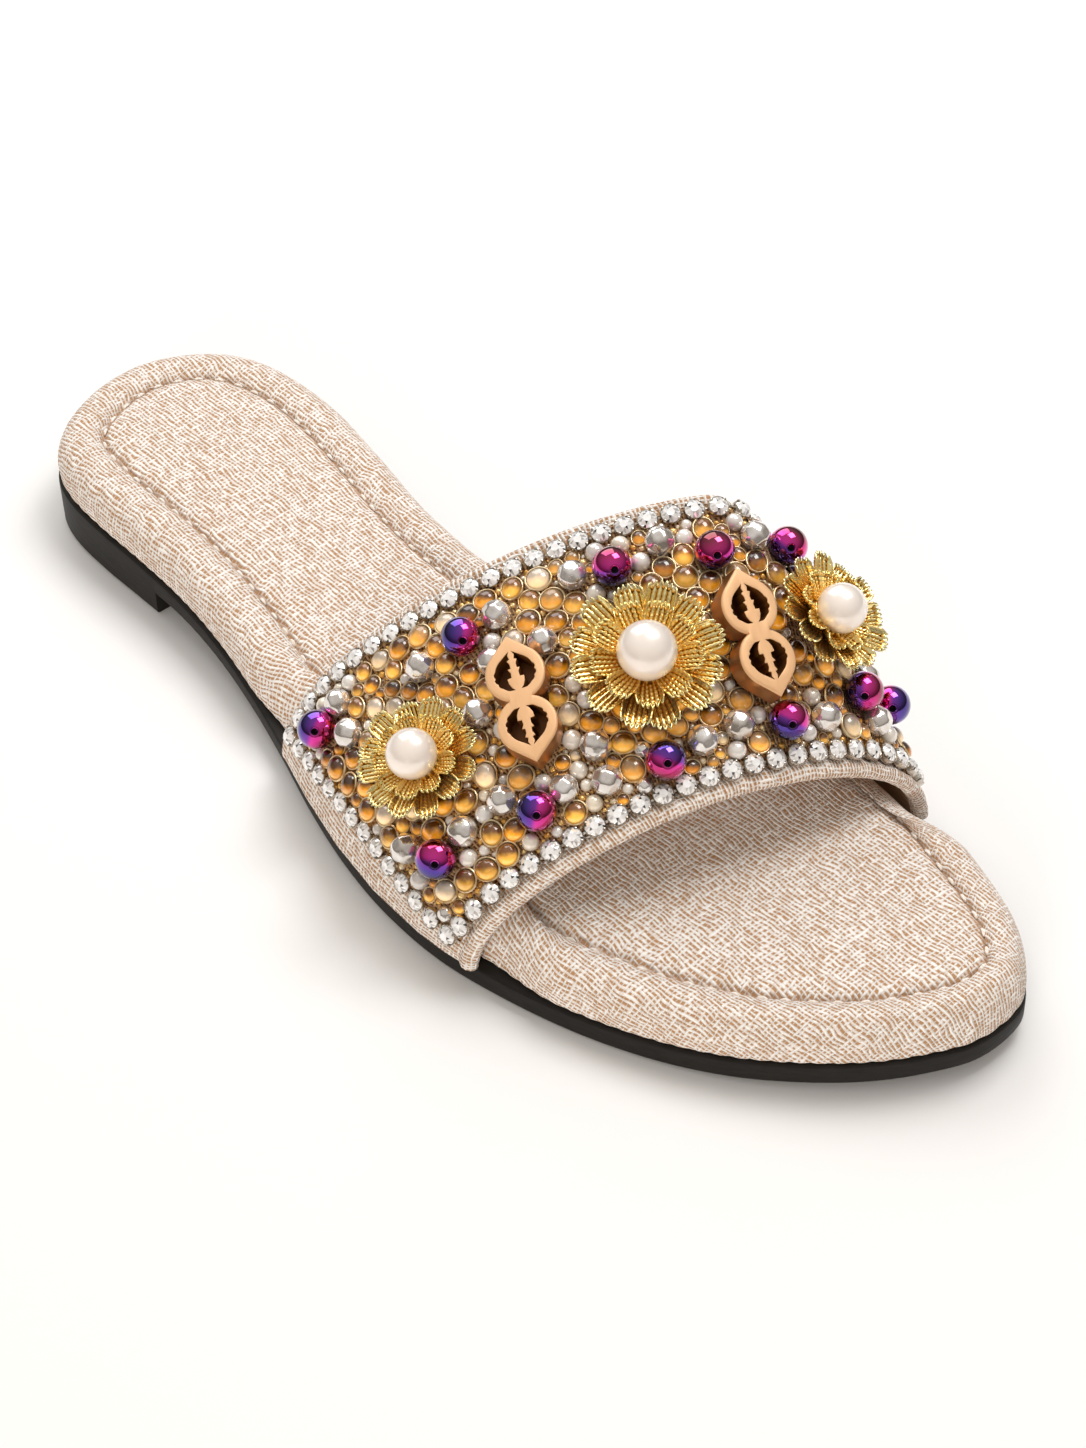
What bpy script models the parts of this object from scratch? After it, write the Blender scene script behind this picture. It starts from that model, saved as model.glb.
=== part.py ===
"""Embellished slide sandal, right foot.

Frame: metres, +Z up.  The toe points to -Y and the outer (little toe) side is
at -X.  The origin is under the middle of the sandal, on the floor.
Sizes in the tables are millimetres: "along" runs from the heel end to the
toe, "outer" and "inner" are distances from the heel-to-toe line.
"""
import math

import bmesh
import bpy
from mathutils import Matrix, Vector

MM = 0.001
LENGTH = 252.0            # heel end to toe end
CENTRE_ACROSS = 5.33      # heel-to-toe line to the middle of the whole width
HEEL_LENGTH = 51.5        # heel end to the heel breast
STATIONS = 40             # cross rows from heel to toe
GAP = 0.3                 # clearance between touching pieces

# Outline of the outsole, a row for each cross section.
OUTLINE_COLUMNS = ("along", "outer", "inner")
OUTLINE = (
    (0.0, 0.0, 0.0),
    (2.0, 11.8, 9.5),
    (6.0, 20.2, 16.6),
    (12.0, 26.2, 22.4),
    (20.0, 29.2, 26.0),
    (32.0, 30.4, 28.0),
    (45.0, 30.6, 27.5),
    (60.0, 31.0, 25.2),
    (75.0, 32.8, 22.4),
    (90.0, 36.0, 21.0),
    (105.0, 40.2, 21.4),
    (120.0, 45.0, 23.8),
    (135.0, 48.8, 28.2),
    (150.0, 51.0, 33.0),
    (165.0, 51.2, 36.8),
    (180.0, 48.8, 38.6),
    (195.0, 44.8, 38.4),
    (210.0, 39.0, 35.8),
    (222.0, 32.4, 31.8),
    (232.0, 24.8, 27.9),
    (241.0, 16.0, 23.4),
    (248.0, 6.0, 17.6),
    (251.4, -1.5, 12.4),
    (252.0, -7.0, 7.0),
)
# Side view of the outsole: top face, and underside in front of the heel.
PROFILE_COLUMNS = ("along", "top", "under")
PROFILE = (
    (0.0, 11.4, 5.2),
    (40.0, 10.6, 5.2),
    (62.0, 9.2, 5.1),
    (90.0, 7.0, 3.0),
    (116.0, 5.6, 1.1),
    (145.0, 4.8, 0.0),
    (195.0, 4.6, 0.0),
    (222.0, 5.6, 1.0),
    (252.0, 7.8, 3.2),
)
# Footbed section from its underside, round the padded roll and the stitched
# groove, to the edge of the inner panel.
FOOTBED_COLUMNS = ("inset", "height")
FOOTBED = (
    (5.0, GAP),
    (2.0, GAP),
    (1.1, 1.4),
    (0.8, 4.2),
    (1.5, 7.2),
    (3.4, 9.4),
    (6.0, 10.3),
    (8.6, 9.7),
    (10.8, 8.2),
    (13.4, 9.0),
)
PANEL_CROWN = 0.9         # rise of the inner panel along its middle
SQUEEZE = 1.7             # the roll's side is pressed in under the strap
SQUEEZE_PER_HEIGHT = 0.42
SQUEEZE_RAMP = 24.0

# The strap from its back edge to its front edge: where its two ends stand on
# the outsole, its crest, and where the crest lies from outer end to inner end.
# Fullness 2 is an ellipse, more is squarer.
STRAP_COLUMNS = (
    "part", "outer_foot", "inner_foot", "crest", "crest_across", "bow", "outer_fullness", "inner_fullness",
)
STRAP = (
    (0.0, 107.0, 159.0, 60.0, 0.88, 0.0, 1.64, 3.6),
    (0.5, 140.0, 182.0, 49.0, 0.70, 1.0, 1.74, 2.8),
    (1.0, 174.0, 206.0, 32.5, 0.50, 3.0, 1.84, 1.9),
)
STRAP_PROUD = 0.7         # strap's outer face beyond the outsole's side
STRAP_BASE = 0.5          # strap's ends above the outsole
STRAP_WALL = 2.4
STRAP_GIRTH_STEPS = 34
STRAP_DEPTH_ROWS = (0.0, 0.04, 0.19, 0.34, 0.49, 0.64, 0.79, 0.95, 1.0)

# The bead panel covers the strap inside its margins.
PANEL_LIFT = 0.85        # clearance on the curved strap
PANEL_TOP = 2.7

# Ornaments: part of the girth from the outer end, part of the depth from the
# back edge, then size, turn, lean towards the inner side and rise off the beads.
BEAD_RADIUS = 3.8
BEAD_COLUMNS = ("girth", "depth")
BEADS = (
    (0.108, 0.183),
    (0.317, 0.25),
    (0.507, 0.245),
    (0.622, 0.285),
    (0.712, 0.24),
    (0.132, 0.77),
    (0.275, 0.835),
    (0.458, 0.867),
    (0.644, 0.85),
    (0.780, 0.76),
    (0.857, 0.74),
)
FLOWER_COLUMNS = ("name", "girth", "depth", "radius", "pearl_radius", "lean", "rise")
FLOWERS = (
    ("outer", 0.198, 0.53, 11.8, 4.8, 12.0, 0.7),
    ("middle", 0.495, 0.587, 14.5, 5.6, 0.0, 0.0),
    ("inner", 0.732, 0.54, 12.2, 4.8, -8.0, 0.5),
)
# Gilt rosette section from the middle of its foot out to the lower petals,
# back in, out to the upper petals, and in to the pearl's cup.
ROSETTE_RADIUS = 13.4
ROSETTE_STEPS = 36
ROSETTE_COLUMNS = ("radius", "height", "petal_depth", "petals")
ROSETTE = (
    (3.2, 0.0, 0.0, 12),
    (6.0, 0.3, 0.0, 12),
    (12.2, 1.6, 1.3, 12),
    (13.4, 2.5, 1.5, 12),
    (12.2, 2.6, 1.3, 12),
    (7.0, 1.3, 0.2, 12),
    (9.3, 3.0, 1.0, 8),
    (9.9, 3.9, 1.2, 8),
    (8.8, 3.9, 1.0, 8),
    (5.2, 1.7, 0.0, 8),
    (3.0, 0.8, 0.0, 8),
)
FRET_COLUMNS = ("name", "girth", "depth", "turn", "lean")
FRETS = (
    ("outer", 0.342, 0.56, 78.0, 5.0),
    ("inner", 0.626, 0.605, 94.0, 6.0),
)
FRET_HEIGHT = 5.0
FRET_RISE = 0.4           # clearance of a leaning piece
FRET_LOBE_RADIUS = 5.6
FRET_LOBE_CENTRE = 5.1    # from the middle of the piece
FRET_TIP = 12.7
FRET_RIM = 1.6
FRET_VEIN_COLUMNS = ("position", "half_width")
FRET_VEIN = (
    (2.0, 0.7),
    (3.7, 1.9),
    (4.1, 0.9),
    (5.9, 1.8),
    (6.3, 0.7),
    (8.1, 1.1),
    (9.6, 0.7),
)


def read(table, columns, name, at):
    """Value of a named column on a smooth curve through the table's rows."""
    column = columns.index(name)
    rows = [(row[0], row[column]) for row in table]
    at = min(max(at, rows[0][0]), rows[-1][0])
    last = len(rows) - 2
    i = next(k for k in range(last + 1) if at <= rows[k + 1][0])
    (x0, y0), (x1, y1) = rows[i], rows[i + 1]
    width = x1 - x0
    start_slope = end_slope = (y1 - y0) / width
    if i > 0:
        start_slope = (y1 - rows[i - 1][1]) / (x1 - rows[i - 1][0])
    if i < last:
        end_slope = (rows[i + 2][1] - y0) / (rows[i + 2][0] - x0)
    t = (at - x0) / width
    ease = 3 * t**2 - 2 * t**3
    start_bend = width * start_slope * (t**3 - 2 * t**2 + t)
    end_bend = width * end_slope * (t**3 - t**2)
    return y0 + (y1 - y0) * ease + start_bend + end_bend


def end_angle(along):
    """Angle that runs evenly round the two ends of the outline."""
    return math.acos(1 - 2 * along / LENGTH)


ROUND_OUTLINE = tuple((end_angle(row[0]), row[1], row[2]) for row in OUTLINE)


def half_width(side, along):
    return read(ROUND_OUTLINE, OUTLINE_COLUMNS, side, end_angle(along))


def outsole_top(along):
    return read(PROFILE, PROFILE_COLUMNS, "top", along)


def outsole_under(along):
    return max(0.0, read(PROFILE, PROFILE_COLUMNS, "under", along))


def spot(along, outer, height):
    """A point of the sandal, in metres."""
    return Vector((CENTRE_ACROSS - outer, LENGTH / 2 - along, height)) * MM


def station_rows():
    """Distances along, closer together at the ends, with one at the breast."""
    rows = [LENGTH * (1 - math.cos(math.pi * i / STATIONS)) / 2 for i in range(STATIONS + 1)]
    nearest = min(range(len(rows)), key=lambda i: abs(rows[i] - HEEL_LENGTH))
    rows[nearest] = HEEL_LENGTH
    return rows


def outline_loop():
    """Outline points: heel end, outer side, toe end, inner side."""
    rows = station_rows()
    outer = [Vector((along, half_width("outer", along))) for along in rows]
    inner = [Vector((along, -half_width("inner", along))) for along in rows[-2:0:-1]]
    return outer + inner


def inward_normals(loop):
    normals = []
    for i in range(len(loop)):
        run = loop[(i + 1) % len(loop)] - loop[i - 1]
        normals.append(Vector((run.y, -run.x)).normalized())
    return normals


def opposite(i, count):
    """The outline point across the sandal from point i."""
    return (count - i) % count


def bridge(bm, ring_a, ring_b):
    """Quads between two closed rings of vertices."""
    count = len(ring_a)
    for i in range(count):
        j = (i + 1) % count
        bm.faces.new((ring_a[i], ring_a[j], ring_b[j], ring_b[i]))


def span(bm, ring, rows):
    """Close a ring with strips that run straight across the sandal."""
    for i in rows:
        corners = []
        for k in (i, i + 1, opposite(i + 1, len(ring)), opposite(i, len(ring))):
            if ring[k] not in corners:
                corners.append(ring[k])
        bm.faces.new(corners)


def finish(bm, name, material, smooth_angle=40.0):
    """Turn a bmesh into a named object with outward faces."""
    bmesh.ops.recalc_face_normals(bm, faces=bm.faces)
    mesh = bpy.data.meshes.new(name)
    bm.to_mesh(mesh)
    bm.free()
    mesh.shade_smooth()
    mesh.set_sharp_from_angle(angle=math.radians(smooth_angle))
    mesh.materials.append(material)
    obj = bpy.data.objects.new(name, mesh)
    sandal.objects.link(obj)
    return obj


def make_material(name, colour, roughness, metallic=0.0):
    material = bpy.data.materials.new(name)
    material.use_nodes = True
    shader = material.node_tree.nodes["Principled BSDF"]
    shader.inputs["Base Color"].default_value = (*colour, 1.0)
    shader.inputs["Roughness"].default_value = roughness
    shader.inputs["Metallic"].default_value = metallic
    return material


def soften(obj, width, segments=1):
    """Round the sharp edges."""
    bevel = obj.modifiers.new("Soft edges", "BEVEL")
    bevel.width = width * MM
    bevel.segments = segments
    bevel.limit_method = "ANGLE"
    bevel.angle_limit = math.radians(55)


def build_outsole():
    """Moulded unit: forefoot, rising waist and heel lift in one piece."""
    loop = outline_loop()
    count = len(loop)
    bm = bmesh.new()
    top = [bm.verts.new(spot(p.x, p.y, outsole_top(p.x))) for p in loop]
    under = [bm.verts.new(spot(p.x, p.y, outsole_under(p.x))) for p in loop]
    breast = next(i for i in range(count) if loop[i].x >= HEEL_LENGTH)
    in_heel = [p.x <= HEEL_LENGTH for p in loop]
    ground = [
        bm.verts.new(spot(p.x, p.y, 0.0)) if heel else low
        for p, heel, low in zip(loop, in_heel, under)
    ]
    bridge(bm, top, under)
    span(bm, top, range(STATIONS))
    span(bm, under, range(breast, STATIONS))
    span(bm, ground, range(breast))
    for i in range(count):
        j = (i + 1) % count
        if in_heel[i] and in_heel[j]:
            bm.faces.new((under[i], under[j], ground[j], ground[i]))
    across = opposite(breast, count)
    bm.faces.new((ground[breast], ground[across], under[across], under[breast]))
    outsole = finish(bm, "outsole", BLACK_RUBBER, 30.0)
    soften(outsole, 0.5)


def squeeze(along, outer_side, height):
    """How far the strap presses the footbed's side in."""
    back, front = STRAP[0], STRAP[-1]
    column = STRAP_COLUMNS.index("outer_foot" if outer_side else "inner_foot")
    outside = max(back[column] - along, along - front[column], 0.0)
    hold = max(0.0, 1.0 - outside / SQUEEZE_RAMP)
    ease = hold**2 * (3 - 2 * hold)
    return ease * (SQUEEZE + SQUEEZE_PER_HEIGHT * height)


def build_footbed():
    """Fabric-wrapped board with a padded roll round a crowned panel."""
    loop = outline_loop()
    normals = inward_normals(loop)
    bm = bmesh.new()
    rings = []
    inmost = FOOTBED[-1][0]
    for inset, height in FOOTBED:
        ring = []
        for i, (point, normal) in enumerate(zip(loop, normals)):
            press = squeeze(point.x, i < STATIONS, height)
            press *= 1 - max(0.0, inset - 6.0) / (inmost - 6.0)
            at = point + normal * (inset + press)
            ring.append(bm.verts.new(spot(at.x, at.y, outsole_top(point.x) + height)))
        rings.append(ring)
    for low, high in zip(rings, rings[1:]):
        bridge(bm, low, high)
    span(bm, rings[0], range(STATIONS))
    edge = rings[-1]
    count = len(edge)
    middle = [edge[0]]
    for i in range(1, STATIONS):
        centre = (edge[i].co + edge[opposite(i, count)].co) / 2
        centre.z += PANEL_CROWN * MM * math.sin(math.pi * i / STATIONS)
        middle.append(bm.verts.new(centre))
    middle.append(edge[STATIONS])
    for i in range(STATIONS):
        for side in ((edge[i], edge[i + 1]), (edge[opposite(i, count)], edge[opposite(i + 1, count)])):
            corners = [middle[i], middle[i + 1]]
            corners += [corner for corner in (side[1], side[0]) if corner not in corners]
            bm.faces.new(corners)
    finish(bm, "footbed", BEIGE_FABRIC, 60.0)


def strap_section(part, steps):
    """Evenly spaced points over the strap, outer end to inner end."""
    outer_foot = read(STRAP, STRAP_COLUMNS, "outer_foot", part)
    inner_foot = read(STRAP, STRAP_COLUMNS, "inner_foot", part)
    crest = read(STRAP, STRAP_COLUMNS, "crest", part)
    crest_across = read(STRAP, STRAP_COLUMNS, "crest_across", part)
    bow = read(STRAP, STRAP_COLUMNS, "bow", part)
    outer_fullness = read(STRAP, STRAP_COLUMNS, "outer_fullness", part)
    inner_fullness = read(STRAP, STRAP_COLUMNS, "inner_fullness", part)
    outer = half_width("outer", outer_foot) + STRAP_PROUD
    inner = -half_width("inner", inner_foot) - STRAP_PROUD
    outer_base = outsole_top(outer_foot) + STRAP_BASE
    inner_base = outsole_top(inner_foot) + STRAP_BASE
    middle = outer + (inner - outer) * crest_across
    fine = 240
    path = []
    for i in range(fine + 1):
        angle = math.pi * i / fine
        on_outer_side = angle < math.pi / 2
        foot, base = (outer, outer_base) if on_outer_side else (inner, inner_base)
        power = 2 / (outer_fullness if on_outer_side else inner_fullness)
        reach = abs(math.cos(angle)) ** power
        rise = abs(math.sin(angle)) ** power
        across = middle + (foot - middle) * reach
        share = (outer - across) / (outer - inner)
        along = outer_foot + (inner_foot - outer_foot) * share + bow * 4 * share * (1 - share)
        path.append(spot(along, across, base + (crest - base) * rise))
    lengths = [0.0]
    for a, b in zip(path, path[1:]):
        lengths.append(lengths[-1] + (b - a).length)
    points = []
    k = 0
    for i in range(steps + 1):
        goal = lengths[-1] * i / steps
        while k < fine - 1 and lengths[k + 1] < goal:
            k += 1
        t = (goal - lengths[k]) / (lengths[k + 1] - lengths[k])
        points.append(path[k].lerp(path[k + 1], t))
    return points


def strap_seat(girth, depth, lift):
    """Frame on the strap: X towards the inner end, Z outwards."""
    steps = 200
    at = girth * steps
    i = min(int(at), steps - 1)
    here = strap_section(depth, steps)
    ahead = strap_section(depth + 0.02, steps)
    point = here[i].lerp(here[i + 1], at - i)
    along_girth = (here[i + 1] - here[i]).normalized()
    forwards = (ahead[i] - here[i]).normalized()
    outwards = forwards.cross(along_girth).normalized()
    sideways = along_girth
    frame = Matrix((sideways, outwards.cross(sideways), outwards)).transposed().to_4x4()
    frame.translation = point + outwards * lift * MM
    return frame


def lifted_strap(depth_rows, girth_steps, lift):
    """Grid of points at a height above the strap's outer face."""
    grid = []
    steps = STRAP_GIRTH_STEPS
    for depth in depth_rows:
        here = strap_section(depth, steps)
        nudge = -0.01 if depth > 0.5 else 0.01
        near = strap_section(depth + nudge, steps)
        row = []
        for i in girth_steps:
            girth_run = here[min(i + 1, steps)] - here[max(i - 1, 0)]
            depth_run = (near[i] - here[i]) * (1 if nudge > 0 else -1)
            row.append(here[i] + depth_run.cross(girth_run).normalized() * lift * MM)
        grid.append(row)
    return grid


def sheet(grid, name, material, thickness):
    """A shell whose outer face is the grid."""
    bm = bmesh.new()
    rows = [[bm.verts.new(point) for point in row] for row in grid]
    for row, following in zip(rows, rows[1:]):
        for i in range(len(row) - 1):
            bm.faces.new((row[i], following[i], following[i + 1], row[i + 1]))
    mesh = bpy.data.meshes.new(name)
    bm.to_mesh(mesh)
    bm.free()
    mesh.shade_smooth()
    mesh.materials.append(material)
    obj = bpy.data.objects.new(name, mesh)
    sandal.objects.link(obj)
    wall = obj.modifiers.new("Wall", "SOLIDIFY")
    wall.thickness = thickness * MM
    wall.offset = -1.0
    wall.use_even_offset = True
    return obj


def build_upper():
    """Wide band strap that arches from one side of the outsole to the other."""
    grid = lifted_strap(STRAP_DEPTH_ROWS, range(STRAP_GIRTH_STEPS + 1), 0.0)
    upper = sheet(grid, "upper", BEIGE_FABRIC, STRAP_WALL)
    soften(upper, 0.6)


def build_bead_panel():
    """Bed of small set beads, with a seat for each large bead."""
    rows = STRAP_DEPTH_ROWS[1:-1]
    grid = lifted_strap(rows, range(1, STRAP_GIRTH_STEPS), PANEL_TOP)
    panel = sheet(grid, "bead_panel", AMBER_GLASS, PANEL_TOP - PANEL_LIFT)
    for i, (girth, depth) in enumerate(BEADS):
        cutter = ball(f"bead_seat_{i + 1}", girth, depth, BEAD_RADIUS + 2 * GAP, AMBER_GLASS)
        sandal.objects.unlink(cutter)
        cutters.objects.link(cutter)
        cutter.hide_render = True
        cutter.display_type = "WIRE"
        cut = panel.modifiers.new(f"Seat {i + 1}", "BOOLEAN")
        cut.operation = "DIFFERENCE"
        cut.object = cutter


def ball(name, girth, depth, radius, material):
    """A large bead standing on the strap."""
    bm = bmesh.new()
    bmesh.ops.create_uvsphere(bm, u_segments=12, v_segments=8, radius=radius * MM)
    obj = finish(bm, name, material, 80.0)
    obj.matrix_world = strap_seat(girth, depth, BEAD_RADIUS + GAP)
    return obj


def build_large_beads():
    for i, (girth, depth) in enumerate(BEADS):
        ball(f"large_bead_{i + 1:02d}", girth, depth, BEAD_RADIUS, VIOLET_MIRROR)


def build_flowers():
    """Two-tier gilt rosettes, each with a pearl in its cup."""
    lift = PANEL_TOP + GAP
    cup_height = ROSETTE[-1][ROSETTE_COLUMNS.index("height")]
    for name, girth, depth, radius, pearl_radius, lean, rise in FLOWERS:
        scale = radius / ROSETTE_RADIUS
        seat = strap_seat(girth, depth, lift + rise) @ Matrix.Rotation(math.radians(lean), 4, "Y")
        bm = bmesh.new()
        rings = []
        for ring_radius, height, petal_depth, petals in ROSETTE:
            ring = []
            for i in range(ROSETTE_STEPS):
                angle = 2 * math.pi * i / ROSETTE_STEPS
                notch = petal_depth * (1 - abs(math.sin(petals * angle / 2)))
                reach = (ring_radius - notch) * scale
                at = Vector((reach * math.cos(angle), reach * math.sin(angle), height * scale))
                ring.append(bm.verts.new(at * MM))
            rings.append(ring)
        for low, high in zip(rings, rings[1:]):
            bridge(bm, low, high)
        bm.faces.new(rings[0])
        bm.faces.new(rings[-1])
        flower = finish(bm, f"flower_{name}", GILT_METAL)
        flower.matrix_world = seat
        bm = bmesh.new()
        bmesh.ops.create_uvsphere(bm, u_segments=16, v_segments=10, radius=pearl_radius * MM)
        pearl = finish(bm, f"pearl_{name}", PEARL, 80.0)
        pearl_lift = cup_height * scale + GAP + pearl_radius
        pearl.matrix_world = seat @ Matrix.Translation((0.0, 0.0, pearl_lift * MM))


def lobe_edge(rim):
    """Half of a pointed lobe's edge, from its round end to its tip."""
    radius = FRET_LOBE_RADIUS - rim
    tip = FRET_TIP - 1.6 * rim
    touch = math.acos(radius / (tip - FRET_LOBE_CENTRE))
    points = []
    steps = 7
    for i in range(steps + 1):
        angle = math.pi - (math.pi - touch) * i / steps
        reach = FRET_LOBE_CENTRE + radius * math.cos(angle)
        points.append((reach, radius * math.sin(angle)))
    points.append((tip, 0.0))
    return points


def fret_outline():
    """Figure of two pointed lobes joined at their round ends."""
    half = [(x, y) for x, y in lobe_edge(0.0) if y > FRET_LOBE_RADIUS * 0.35 or x > FRET_LOBE_CENTRE]
    outer = half + [(x, -y) for x, y in half[-2::-1]]
    return outer + [(-x, -y) for x, y in outer]


def fret_opening(end, side):
    """One of the four openings, with a stepped edge along the vein."""
    rim = [(x, y) for x, y in lobe_edge(FRET_RIM) if FRET_VEIN[0][0] < x < FRET_VEIN[-1][0] and y > 1.4]
    points = rim + list(reversed(FRET_VEIN))
    return [(end * x, side * y) for x, y in points]


def build_frets():
    """Copper-coloured openwork pieces."""
    for name, girth, depth, turn, lean in FRETS:
        curve = bpy.data.curves.new(f"fret_{name}", "CURVE")
        curve.dimensions = "2D"
        curve.fill_mode = "BOTH"
        curve.extrude = FRET_HEIGHT * MM / 2
        loops = [fret_outline()]
        loops += [fret_opening(end, side) for end in (-1, 1) for side in (-1, 1)]
        for points in loops:
            spline = curve.splines.new("POLY")
            spline.points.add(len(points) - 1)
            for target, (x, y) in zip(spline.points, points):
                target.co = (x * MM, y * MM, 0.0, 1.0)
            spline.use_cyclic_u = True
        outline = bpy.data.objects.new("fret outline", curve)
        sandal.objects.link(outline)
        bpy.context.view_layer.update()
        evaluated = outline.evaluated_get(bpy.context.evaluated_depsgraph_get())
        flat = bpy.data.meshes.new_from_object(evaluated)
        bpy.data.objects.remove(outline)
        bm = bmesh.new()
        bm.from_mesh(flat)
        bpy.data.meshes.remove(flat)
        bmesh.ops.remove_doubles(bm, verts=bm.verts, dist=0.00001)
        fret = finish(bm, f"fret_{name}", COPPER)
        seat = strap_seat(girth, depth, PANEL_TOP + GAP + FRET_RISE + FRET_HEIGHT / 2)
        seat = seat @ Matrix.Rotation(math.radians(lean), 4, "Y")
        fret.matrix_world = seat @ Matrix.Rotation(math.radians(turn), 4, "Z")


for old in list(bpy.data.objects):
    bpy.data.objects.remove(old, do_unlink=True)
sandal = bpy.data.collections.new("Embellished slide sandal")
cutters = bpy.data.collections.new("Cutters")
bpy.context.scene.collection.children.link(sandal)
bpy.context.scene.collection.children.link(cutters)

BLACK_RUBBER = make_material("Black rubber", (0.020, 0.018, 0.016), 0.55)
BEIGE_FABRIC = make_material("Beige woven fabric", (0.66, 0.52, 0.41), 0.85)
AMBER_GLASS = make_material("Amber glass beads", (0.55, 0.30, 0.07), 0.2)
VIOLET_MIRROR = make_material("Violet mirror", (0.42, 0.04, 0.38), 0.1, 1.0)
GILT_METAL = make_material("Gilt metal", (0.85, 0.62, 0.22), 0.3, 1.0)
PEARL = make_material("Pearl", (0.87, 0.80, 0.74), 0.25)
COPPER = make_material("Copper lacquer", (0.78, 0.47, 0.25), 0.35, 0.6)

build_outsole()
build_footbed()
build_upper()
build_bead_panel()
build_large_beads()
build_flowers()
build_frets()
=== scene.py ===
"""Looks of the embellished slide sandal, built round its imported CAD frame."""
import math
import random

import bmesh
import bpy
import numpy as np
from mathutils import Matrix, Vector
from mathutils.geometry import tessellate_polygon


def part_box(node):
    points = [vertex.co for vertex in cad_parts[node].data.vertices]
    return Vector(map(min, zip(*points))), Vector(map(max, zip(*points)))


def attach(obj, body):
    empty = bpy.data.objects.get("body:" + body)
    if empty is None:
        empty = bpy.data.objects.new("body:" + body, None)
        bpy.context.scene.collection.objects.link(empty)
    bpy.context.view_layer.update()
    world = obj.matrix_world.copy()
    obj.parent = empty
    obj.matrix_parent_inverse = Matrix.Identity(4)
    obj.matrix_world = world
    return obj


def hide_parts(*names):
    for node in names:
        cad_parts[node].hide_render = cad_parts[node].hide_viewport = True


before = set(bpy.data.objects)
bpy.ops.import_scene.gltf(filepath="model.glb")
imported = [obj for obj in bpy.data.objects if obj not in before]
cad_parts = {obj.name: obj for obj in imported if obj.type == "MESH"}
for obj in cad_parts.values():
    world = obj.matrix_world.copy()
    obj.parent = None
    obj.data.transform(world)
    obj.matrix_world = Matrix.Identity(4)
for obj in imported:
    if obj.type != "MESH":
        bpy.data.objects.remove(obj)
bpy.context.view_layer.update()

# Studio.  A pale seamless floor under a soft sky, a square softbox high on the inner
# side, a low warm fill on the outer side that no gloss reflects, and a broad back
# light.  The camera looks down from the toe end on the outer side.
scene = bpy.context.scene
scene.view_settings.view_transform = "Standard"

camera_data = bpy.data.cameras.new("Camera")
camera_data.lens = 72.7
camera_data.sensor_width = 36.0
camera_data.shift_x = -0.0687
camera_data.shift_y = -0.106
camera_data.clip_start = 0.01
camera = bpy.data.objects.new("Camera", camera_data)
camera.location = (-0.26761, -0.32323, 0.41414)
camera.rotation_euler = Vector((0.5200, 0.5390, -0.6626)).to_track_quat("-Z", "Y").to_euler()
scene.collection.objects.link(camera)
scene.camera = camera

LAMPS = (
    # name, direction from the sandal, distance, size, power, colour
    ("Softbox", (0.40, -0.04, 0.90), 0.9, 0.42, 4.2, (1.0, 1.0, 1.0)),
    ("Fill", (-0.84, -0.50, 0.27), 1.2, 0.45, 6.6, (1.0, 0.935, 0.86)),
    ("Back light", (0.30, 0.66, 0.69), 1.3, 1.0, 7.6, (1.0, 1.0, 1.0)),
)
for name, direction, distance, size, power, colour in LAMPS:
    direction = Vector(direction).normalized()
    lamp = bpy.data.lights.new(name, "AREA")
    lamp.shape = "SQUARE"
    lamp.size = size
    lamp.energy = power
    lamp.color = colour
    light = bpy.data.objects.new(name, lamp)
    light.location = direction * distance
    light.rotation_euler = (-direction).to_track_quat("-Z", "Y").to_euler()
    light.visible_glossy = name != "Fill"
    scene.collection.objects.link(light)

world = bpy.data.worlds.new("Studio")
world.use_nodes = True
scene.world = world
sky = world.node_tree
facing = sky.nodes.new("ShaderNodeTexCoord")
height = sky.nodes.new("ShaderNodeSeparateXYZ")
sky.links.new(facing.outputs["Generated"], height.inputs[0])
band = sky.nodes.new("ShaderNodeValToRGB")
SKY_STRENGTH = 0.54
SKY_STOPS = (
    # height, colour
    (0.0, (0.42, 0.36, 0.30, 1.0)),
    (0.05, (0.20, 0.165, 0.14, 1.0)),
    (0.25, (0.38, 0.335, 0.295, 1.0)),
    (0.50, (0.72, 0.67, 0.62, 1.0)),
    (1.0, (1.16, 1.12, 1.07, 1.0)),
)
band.color_ramp.elements[0].color = SKY_STOPS[0][1]
band.color_ramp.elements[1].color = SKY_STOPS[-1][1]
for position, colour in SKY_STOPS[1:-1]:
    band.color_ramp.elements.new(position).color = colour
sky.links.new(height.outputs["Z"], band.inputs[0])
background = sky.nodes["Background"]
sky.links.new(band.outputs["Color"], background.inputs["Color"])
background.inputs["Strength"].default_value = SKY_STRENGTH

FLOOR_HALF_WIDTH = 6.0
FLOOR_DROP = 0.0002
bm = bmesh.new()
bmesh.ops.create_grid(bm, x_segments=8, y_segments=8, size=FLOOR_HALF_WIDTH)
floor_mesh = bpy.data.meshes.new("Floor")
bm.to_mesh(floor_mesh)
bm.free()
floor = bpy.data.objects.new("Floor", floor_mesh)
floor.location.z = -FLOOR_DROP
scene.collection.objects.link(floor)
floor_paper = bpy.data.materials.new("Pale paper")
floor_paper.use_nodes = True
paper = floor_paper.node_tree.nodes["Principled BSDF"].inputs
paper["Base Color"].default_value = (0.862, 0.852, 0.842, 1.0)
paper["Roughness"].default_value = 0.95
paper["Specular IOR Level"].default_value = 0.1
floor_mesh.materials.append(floor_paper)

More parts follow.
